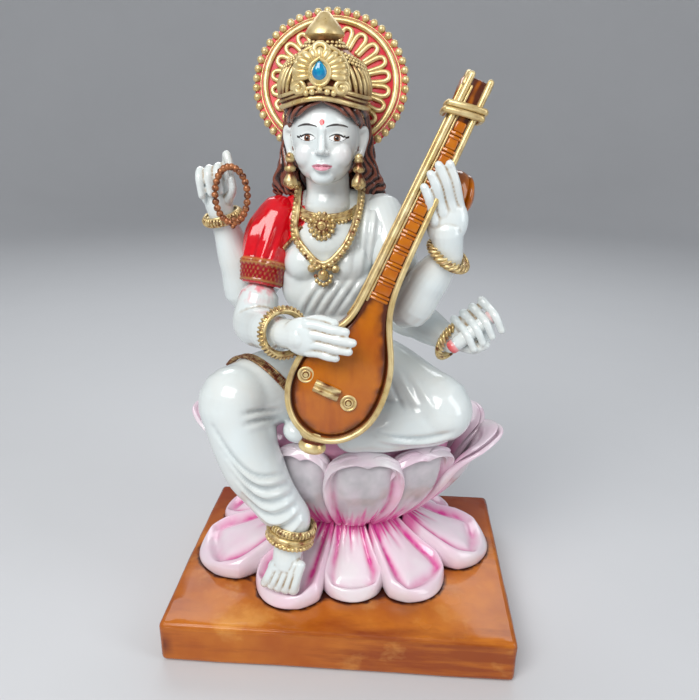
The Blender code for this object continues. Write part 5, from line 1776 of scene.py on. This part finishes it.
def makeCrown():
    rings = []
    for height in (-2.6, -1.5, 0, 2, 4, 6.5, 9, 11, 13, 15, 16.5, 18, 19.5, 21):
        lift = 1 - max(0, height) / 5.2 if height < 5 else 0  # the lower rows follow the arch over the brow
        rings.append([onCrown(6.0 * k, height + archRise((6.0 * k + 180) % 360 - 180) * lift)
                      for k in range(61)])
    rings = [[crownAt + by(0, 0, 1.5)] * 61] + rings + [[crownAt + by(0, 0, 21)] * 61]
    dome = sheetFromRings(rings)
    addSmoothing(dome)
    parts = []
    for lift, height, thick in ((0.35, -1.7, 0.95), (0.3, 0.3, 0.5), (0.5, 1.9, 0.75)):
        path = [onCrown(9 * k, height + archRise((9 * k + 180) % 360 - 180), lift) for k in range(40)]
        parts.append(addRoll(path, thick, 10, 1, closed=True))
    for side in (-1, 1):
        for k in range(crown["pleats"]):
            a = (38 + 9.0 * k) * side
            low = 3.0 + archRise(a)
            pleat = [onCrown(a, low, 0.1), onCrown(a - 2 * side, 6.5, 0.6),
                     onCrown(a - 4 * side, 10.5, 0.5), onCrown(a - 6 * side, 14, 0.0)]
            parts.append(addRoll(pleat, (0.8, 0.95, 0.85, 0.5), 10, 4))
    for k in range(6):
        a = 150 + 12 * k
        parts.append(addRoll([onCrown(a, 3.0, 0.1), onCrown(a, 9, 0.55), onCrown(a, 17, 0.1)],
                             (0.95, 1.2, 0.5), 10, 4))
    boss = crown["boss"]

    def onPlate(u, h, lift):
        # a place on the tall plate at the front of the crown
        reach = 17.0 - 0.016 * max(0.0, h - 6) ** 2
        return crownAt + by((reach + lift) * sin(u / reach), -(reach + lift) * cos(u / reach), h)

    for k in range(crown["ribs"]):  # ribs that fan out from the boss
        a = radians(-14 + 208 * k / (crown["ribs"] - 1))
        route = [(3.6, 4.0, 0.4), (6.0, 5.6, 1.1), (8.4, 6.9, 0.9), (9.4, 7.7, -0.3)]
        rib = [onPlate(wide * cos(a), boss + tall * sin(a), lift) for wide, tall, lift in route]
        parts.append(addRoll(rib, (0.9, 1.2, 1.45, 1.1), 12, 4))
    edging = [onPlate(10.6 * cos(a), boss + 8.9 * sin(a), -0.4) for a in np.linspace(-0.25, pi + 0.25, 17)]
    parts.append(addRoll(edging, 0.8, 8, 2))
    for side in (-1, 1):
        curl = []
        for t in np.linspace(0, 7.8, 16):
            closing = 1 - t / 10
            curl.append(onPlate((7.4 + 2.9 * cos(t) * closing) * side, 4.9 + 2.7 * sin(t) * closing, 0.9))
        parts.append(addRoll(curl, 0.85, 8, 2))
        parts.append(addBall(onPlate(7.4 * side, 4.9, -0.2), (3.0, 1.2, 2.9)))
    turns = np.linspace(0, 2 * pi, 15)[:-1]
    hoop = [onPlate(2.0 * cos(t), boss + 7.9 + 1.8 * sin(t), 0.9) for t in turns]
    parts.append(addRoll(hoop, 0.95, 8, 2, closed=True))
    for height in (19.3, 20.6):
        count = int(crownRadius(height) * 2 * pi / 1.6)
        parts.append(beadRow([onCrown(360 * k / count, height, 0.4) for k in range(count)], 0.78))
    for start, stop in ((18.2, 12.6), (16.9, 11.2), (15.5, 9.8)):  # strings that run down to the sides
        for side in (-1, 1):
            route = [onCrown((26 + 84 * t) * side, start + (stop - start) * t ** 0.8, 0.7)
                     for t in np.linspace(0, 1, 12)]
            parts.append(beadRow(evenly(route, 1.5), 0.74))
    brow = ((0, 4.4, 1.6), (-8.5, 3.7, 1.2), (8.5, 3.7, 1.2), (-16, 3.3, 1.0), (16, 3.3, 1.0))
    parts.append(beadRow([onCrown(*spot) for spot in brow], 1.1))
    gem = onCrown(0, 10.0, 1.1)
    out = aim((0, -1, 0.14))
    seat = [(0, 1.6), (3.5, 1.5), (4.0, 1.2), (4.3, 0.3), (4.4, -1.6), (0, -1.6)]
    parts.append(lathe(seat, Matrix.Translation(gem * mm) @ out, 32, (0.92, 1.06)))
    collar = []
    for t in np.linspace(0, 2 * pi, 25)[:-1]:
        point = 0.8 if abs(t - pi / 2) < 0.01 else 0  # the setting has a small point at the top
        collar.append(gem + by(3.7 * cos(t), -1.35, 4.2 * sin(t) + point))
    parts.append(addRoll(collar, 0.62, 8, 1, closed=True))
    trim = joinParts(parts)
    for obj, gain in ((dome, 1.0), (trim, 1.6)):
        writeHollows(obj, 1, gain)
    domeSpots = corners(dome)
    writeSpread(dome, "hollow", within(0.8 + 0.7 * (grainAt(domeSpots, 4, 1) - 0.4)))
    # the trim is darker where it meets the dome, as painted shade, and in grain blotches
    radial = np.hypot(*(corners(trim)[:, :2] - np.array(crownAt)[:2]).T)
    surface = np.array([crownRadius(z - crownAt.z) for z in corners(trim)[:, 2]])
    dark = (0.85 - (radial - surface) / 1.5 + 0.6 * (grainAt(corners(trim), 3, 2) - 0.5)
            + 0.4 * readSpread(trim, "hollow"))
    writeSpread(trim, "hollow", np.clip(dark, 0, 0.95))
    finishPiece(dome, "crown_dome", goldPaint, ["crown"])
    finishPiece(trim, "crown_ornament", goldPaint)
    drop = addBall(gem + by(0, -1.25, 0), (2.65, 1.3, 2.75), segments=32, rings=20)
    pushSpot(drop, gem + by(0, -1.3, 2.9), (1.5, 2.5, 1.5), (0, 0, 1.1))
    finishPiece(drop, "crown_stone", gemFinish, ["crown_gem"])
    peak = [(0, 19.6), (6.2, 19.8), (6.0, 20.6), (4.6, 21.2), (5.2, 22.0), (6.7, 22.9), (7.35, 23.6),
            (7.2, 24.4),
            (5.9, 26.4), (4.1, 28.7), (2.2, 30.9), (1.2, 31.5), (0, 31.7)]
    cone = lathe(peak, Matrix.Translation(crownAt * mm), 40)
    # darker round the narrow waist of the finial, as painted shade, with grain
    waist = within(1 - np.abs(corners(cone)[:, 2] - crownAt.z - 21.3) / 1.1)
    writeSpread(cone, "hollow", waist * 0.8 + 0.25 * grainAt(corners(cone), 4, 3))
    finishPiece(cone, "crown_peak", goldPaint, ["crown_finial"], 40)


halo = {"centre": (-9.1, 15.5, 232.3), "beadCircle": 30.1, "lean": 18.0, "squash": 0.96, "beads": 48,
        "loops": 22}


def onHalo(radius, angle, lift):
    a = radians(angle)
    flat = Vector((radius * cos(a), -lift, radius * halo["squash"] * sin(a)))
    return Vector(halo["centre"]) + Matrix.Rotation(radians(-halo["lean"]), 3, "X") @ flat


def makeHalo():
    rings = []
    section = ((0, -1.6), (15, -1.6), (28, -1.6), (30.2, -1.2), (30.8, 0), (30.2, 0.7),
               (28.2, 0.6), (27.4, 0.6), (25.4, 0.6), (24.6, 0.7), (16, 0.7), (0, 0.7))
    for radius, lift in section:
        rings.append([onHalo(radius, 5 * k, lift) for k in range(73)])
    disc = sheetFromRings(rings)
    writeHollows(disc, 1, 0.5)
    finishPiece(disc, "halo_disc", haloFinish, ["halo"], 40)
    step = 360 / halo["beads"]
    parts = [beadRow([onHalo(halo["beadCircle"], step * (k + 0.5), 0.7) for k in range(halo["beads"])],
                     1.62)]
    ring = [onHalo(26.3, 6 * k, 1.1) for k in range(60)]
    parts.append(addRoll(ring, 1.2, 12, 1, closed=True))
    parts.append(addRoll([onHalo(28.3, 6 * k, 0.5) for k in range(60)], 0.35, 6, 1, closed=True))
    for k in range(halo["loops"]):
        a = 360 * (k + 0.5) / halo["loops"]
        rising = ((16.0, -5.9), (19.0, -5.782), (21.6, -5.31), (23.2, -3.245))
        loop = [(r, a + t) for r, t in rising] + [(23.6, a)] + [(r, a - t) for r, t in reversed(rising)]
        parts.append(addRoll([onHalo(r, t, 1.1) for r, t in loop], 1.0, 8, 3))
    for radius, thick in ((27.2, 1.1), (12.0, 0.8)):  # plain rings on the back
        parts.append(addRoll([onHalo(radius, 6 * k, -1.7) for k in range(60)], thick, 8, 1, closed=True))
    for k in range(24):
        spoke = [onHalo(13.6, 15 * k, -1.6), onHalo(20, 15 * k + 1.5, -1.7), onHalo(25.4, 15 * k, -1.6)]
        parts.append(addRoll(spoke, (0.4, 0.9, 0.4), 8, 3))
    trim = joinParts(parts)
    spots = corners(trim)
    forward = Matrix.Rotation(radians(-halo["lean"]), 3, "X") @ Vector((0, -1, 0))
    lift = (spots - np.array(halo["centre"])) @ np.array(forward)
    # the trim is darker close to the disc's face, as painted shade, and in grain blotches
    writeSpread(trim, "hollow", np.clip(0.9 - np.abs(lift) / 1.1 + 0.5 * (grainAt(spots, 4, 5) - 0.5), 0,
                                        0.9))
    finishPiece(trim, "halo_ornament", goldPaint)


gemFinish = newFinish("gemBlue", s["gem"], (0.0, 0.10, 0.35), 520.0, (0.02, 0.06), coat=1.0, ripple=0.3)
haloFinish = newFinish("haloRed", s["red"], (0.48, 0.004, 0.03), 60.0, (0.25, 0.4), s["redDark"], 1.3,
                       coat=0.1, ripple=0.05)
haloFinish.node_tree.nodes["Principled BSDF"].inputs["Specular IOR Level"].default_value = 0.25
makeHead()
makeHair()
makeCrown()
makeHalo()
print("head-dress set")

jewels = {"ropeStrands": 26, "ropeLean": 1.1, "malaBeads": 26}


def ropeRing(centre, axis, radius, thick):
    # short slanting rolls side by side, as on a twisted gold ring
    turn = aim(axis).to_3x3()
    parts = [ringRoll(centre, axis, radius, thick * 0.72, 40)]
    for k in range(jewels["ropeStrands"]):
        a = 2 * pi * k / jewels["ropeStrands"]
        path = []
        for t in (-1, -0.5, 0, 0.5, 1):
            b = a + jewels["ropeLean"] * t * thick / radius
            bulge = radius - 0.2 + thick * cos(t * 1.35)
            path.append(Vector(centre) + turn @ Vector((bulge * cos(b), bulge * sin(b), thick * t)))
        parts.append(addRoll(path, (0.4, 0.62, 0.7, 0.62, 0.4), 8, 2))
    return parts


def ribbedRing(centre, axis, radius, width, ribs, squash=1.0):
    turn = aim(axis).to_3x3()
    parts = [ringRoll(centre, axis, radius, width * 0.36, 44, squash)]
    for z in (-width * 0.52, width * 0.52):
        parts.append(ringRoll(Vector(centre) + turn @ Vector((0, 0, z)), axis, radius + 0.2, 0.55, 44,
                              squash))
    for k in range(ribs):
        a = 2 * pi * k / ribs
        path = []
        for out, z in ((0.6, -width * 0.46), (width * 0.42, -width * 0.2), (width * 0.42, width * 0.2),
                       (0.6, width * 0.46)):
            reach = radius + out
            path.append(Vector(centre) + turn @ Vector((reach * cos(a), reach * squash * sin(a), z)))
        parts.append(addRoll(path, 0.5, 8, 2))
    return parts


def finishJewel(parts, name, nodes, seed):
    jewel = joinParts(parts)
    writeHollows(jewel, 1, 2.0)
    blotch = np.clip(grainAt(corners(jewel), 1.6, seed) * 2.4 - 1.15, 0, 0.75)
    writeSpread(jewel, "hollow", np.clip(readSpread(jewel, "hollow") * 0.8 + blotch, 0, 0.9))
    return finishPiece(jewel, name, goldPaint, nodes)


def makeBangles():
    elbow, wrist = at["rightElbow"], at["rightWrist"]
    ring = ribbedRing(wrist.lerp(elbow, 0.06), wrist - elbow, 8.2, 3.6, 38)
    finishJewel(ring, "bangle_ribbed", ["bangle_front_right"], 1)
    ring = ropeRing(at["leftWrist"], at["leftWrist"] - at["leftElbow"], 7.2, 1.7)
    finishJewel(ring, "bangle_rope", ["bangle_front_left"], 2)
    ring = ribbedRing(at["rearRightWrist"], at["rearRightWrist"] - at["rearRightElbow"], 6.8, 3.0, 34)
    finishJewel(ring, "bangle_beads", ["bangle_rear_right"], 3)
    ring = ropeRing(at["rearLeftWrist"], at["rearLeftWrist"] - at["rearLeftElbow"], 7.2, 1.6)
    finishJewel(ring, "bangle_back", ["bangle_rear_left"], 4)
    ankle, axis = at["rightAnkle"], Vector((0.2, 0.1, 1)).normalized()
    rings = ribbedRing(ankle + axis * 3.0, axis, 9.4, 2.6, 44, 0.97)
    rings.append(ringRoll(ankle - axis * 0.2, axis, 9.9, 1.15, 44, 0.97))
    rings.append(beadRow(ringPoints(ankle - axis * 3.2, axis, 10.0, 34, 0.97), 1.05))
    rings.append(ringRoll(ankle - axis * 1.7, axis, 9.7, 0.5, 44, 0.97))
    rings.append(ringRoll(ankle - axis * 3.2, axis, 9.0, 1.4, 44, 0.97))
    finishJewel(rings, "anklet_rings", ["anklet"], 5)


def ribbonAlong(points, middles, half, thick, pitch=0.95):
    # a flat band of short bars laid side by side along a path, facing away from the middle line
    spots, inner = evenly(points, pitch), evenly(middles, 1.0)
    matrices = []
    for i, spot in enumerate(spots):
        ahead = (spots[min(i + 1, len(spots) - 1)] - spots[max(i - 1, 0)]).normalized()
        out = spot - min(inner, key=lambda p: (p - spot).length)
        out = (out - ahead * out.dot(ahead)).normalized()
        turn = Matrix((ahead, out.cross(ahead), out)).transposed().to_4x4()
        matrices.append(Matrix.Translation(spot * mm) @ turn
                        @ Matrix.Diagonal((pitch * 0.62, half, thick, 1)))
    return scatter(addBead(), matrices)


def makeBorders():
    thigh = [Vector((-17, 3, 110)), Vector((-44, -27, 110))]
    along = (thigh[1] - thigh[0]).normalized()
    beside = Vector((along.y, -along.x, 0))
    path = []
    for turn in range(60, -91, -15):  # an oblique ring over the thigh
        share = 0.775 - 0.225 * (max(0, -turn) / 90) ** 2
        radius = 16.4 + (0.0005 if turn > 0 else 0.00027) * turn ** 2
        a = radians(turn)
        path.append(thigh[0].lerp(thigh[1], share) + beside * radius * sin(a) + by(0, 0, radius * cos(a)))
    parts = [ribbonAlong([p + by(0, -0.5, 0.5) for p in path], thigh, 1.9, 0.8)]
    sides = [[p + shift for p in path] for shift in (Vector((-1.2, -1.6, 0.9)), Vector((1.2, 0.9, 0.9)))]
    parts += [addRoll(side, 0.42, 8, 5) for side in sides]
    hem = swag((-29.5, -1.5, 166), (-18, -12.5, 179.4), 0.5, 5.0)
    parts.append(ribbonAlong(hem, [(-10, 2, 165), (-9, 2, 180)], 0.95, 0.7, 0.9))
    trim = joinParts(parts)
    writeSpread(trim, "hollow", np.clip(0.5 + 0.9 * (grainAt(corners(trim), 2.0, 4) - 0.35), 0, 0.9))
    finishPiece(trim, "sari_border", goldPaint)


def makeNecklaces():
    neck = at["neck"]
    collar = []
    for i in range(9):
        turn = radians(-165 + 18.75 * i)
        collar.append(neck + by(11.8 * cos(turn), 1.2 + 11.9 * sin(turn) * 0.86, -2.4 + 3.6 * sin(turn)))
    drop = Vector((0, -0.7, -1.9))
    parts = [addRoll([p + drop * share for p in collar], thick, 8, 4) for share,
             thick in ((0, 0.75), (1, 0.85), (0.5, 0.9))]
    parts.append(beadRow([p + drop * 1.65 + by(0, -0.3, 0) for p in evenly(collar, 1.6)], 0.72))
    rose = Vector((-9.4, -16.9, 180.8))
    out = aim((0, -1, 0.25))
    boss = [(0, 1.2), (1.4, 1.0), (1.9, 0.5), (3.6, 0.3), (3.8, -1.2), (0, -1.2)]
    parts.append(lathe(boss, Matrix.Translation(rose * mm) @ out, 28))
    for radius, lift, count, size in ((4.6, 0, 14, 1.0), (2.5, 0.5, 10, 0.6)):
        turns = np.linspace(0, 2 * pi, count + 1)[:-1]
        ring = [rose + out.to_3x3() @ Vector((radius * cos(a), radius * sin(a), lift)) for a in turns]
        parts.append(beadRow(ring, size))
    parts.append(beadRow([rose + by(0, -0.9, 0)], 1.15))
    parts.append(beadRow([rose + by(x, -0.3, -5.4 + 0.25 * abs(x)) for x in (-1.6, 0, 1.6)], 0.75))
    finishJewel(parts, "collar_band", ["choker"], 6)
    chain = [(-20.4, -0.5, 194), (-20.3, -6.2, 188), (-20.2, -14.0, 178), (-16.2, -18.6, 172),
             (-8.6, -20.6, 166.3),
             (-1.4, -19.4, 172), (2.6, -15.2, 179.5), (4.8, -7.5, 188), (5, -1.5, 194)]
    centre = Vector((-7.8, -16, 176))
    inner = [Vector(p).lerp(centre, 0.05) + by(0, -0.3, 0.2) for p in chain]
    outer = [Vector(p) + (Vector(p) - centre).normalized() * 0.9 for p in chain]
    parts = [addRoll(inner, 0.85, 10, 6), addRoll(chain, 0.8, 8, 6)]
    parts.append(beadRow(evenly(outer, 1.95), 1.16, (1, 0.9, 0.95)))
    low = Vector((-8.4, -21.0, 162.4))
    parts.append(beadRow([low], 2.2, (1, 0.75, 1)))
    parts.append(beadRow([low + by(-4.6, 0.8, 2.4), low + by(4.6, 0.8, 2.4)], 1.7, (1, 0.8, 1)))
    small = [(-2.4, 0.2, 2.6), (0, 0, 3.3), (2.4, 0.2, 2.6), (-3.0, 0.4, -0.6), (3.0, 0.4, -0.6),
             (-2.6, 0.3, -2.4), (-1.3, 0.2, -3.4), (0, 0.2, -3.9),
             (1.3, 0.2, -3.4), (2.6, 0.3, -2.4), (-4.6, 1.0, 5.0), (4.6, 1.0, 5.0)]
    parts.append(beadRow([low + Vector(p) for p in small], 0.9, (1, 0.85, 1)))
    finishJewel(parts, "long_necklace", ["necklace"], 7)


def makeEarrings():
    head = at["head"]
    for label, side in (("right", -1), ("left", 1)):
        lobe = head + by(13.2 * side, -3.5, -11.5)
        bell = [(0, 5.6), (1.3, 5.2), (1.9, 4.2), (1.2, 3.1), (1.5, 2.2), (2.3, 1.2), (2.1, 0.2),
                (1.2, -0.4),
                (1.6, -1.4), (2.6, -3.2), (2.8, -4.6), (2.0, -5.8), (1.0, -6.6), (0, -7.0)]
        drop = lathe(bell, Matrix.Translation(lobe * mm), 24)
        beads = beadRow(ringPoints(lobe + by(0, 0, -4.9), (0, 0, 1), 2.3, 10), 0.62)
        stud = beadRow([lobe + by(0, -0.5, 5.2)], 1.7, (1, 0.8, 1))
        finishJewel([drop, beads, stud], f"earring_drop_{label}", [f"earring_{label}"], 8 + side)


def makeHeldThings():
    beads = []
    for i in range(jewels["malaBeads"]):
        turn = 2 * pi * i / jewels["malaBeads"]
        beads.append(Vector((-45.4 + 6.4 * cos(turn), -11.6 + 0.5 * sin(3 * turn), 191 + 10.8 * sin(turn))))
    string = joinParts([beadRow(beads, 1.42),
                        beadRow([Vector((-45.2, -11.8, 178.9)), Vector((-45.0, -11.8, 181.4))], 1.0)])
    writeHollows(string, 1, 1.0)
    writeSpread(string, "hollow", np.clip(grainAt(corners(string), 1.5, 3) * 2.4 - 1.0, 0, 0.9))
    finishPiece(string, "prayer_beads", beadPaint, ["mala"])
    axis, middle = Vector((16.4, 1, 14.5)).normalized(), Vector((50.5, -20, 141))
    section = [(0, 11.6), (1.2, 11.5), (2.3, 11.1), (2.8, 10.2), (2.9, 8.6), (2.5, 8.2), (2.7, 7.4),
               (2.9, 3),
               (2.95, -3), (2.8, -7.4), (2.5, -8.2), (2.9, -8.6), (2.8, -10.2), (2.3, -11.1), (1.2, -11.5),
               (0, -11.6)]
    scroll = lathe(section, Matrix.Translation(middle * mm) @ aim(axis), 28)
    away = (corners(scroll) - np.array(middle)) @ np.array(axis)
    writeSpread(scroll, "ends", within((np.abs(away) - 8.4) / 0.3) * (0.5 + 0.5 * (away < 0)))
    writeHollows(scroll, 1, 1)
    finishPiece(scroll, "rolled_book", bookFinish, ["manuscript"])


bookFinish = newFinish("bookGlaze", s["white"], s["whiteWarm"], 70.0, (0.12, 0.24), s["whiteShade"], 0.8,
                       coat=0.4, ripple=0.05)
paint(bookFinish, "ends", s["red"], 0.85)
makeBangles()
makeNecklaces()
makeEarrings()
makeHeldThings()
makeBorders()
print("jewellery strung")
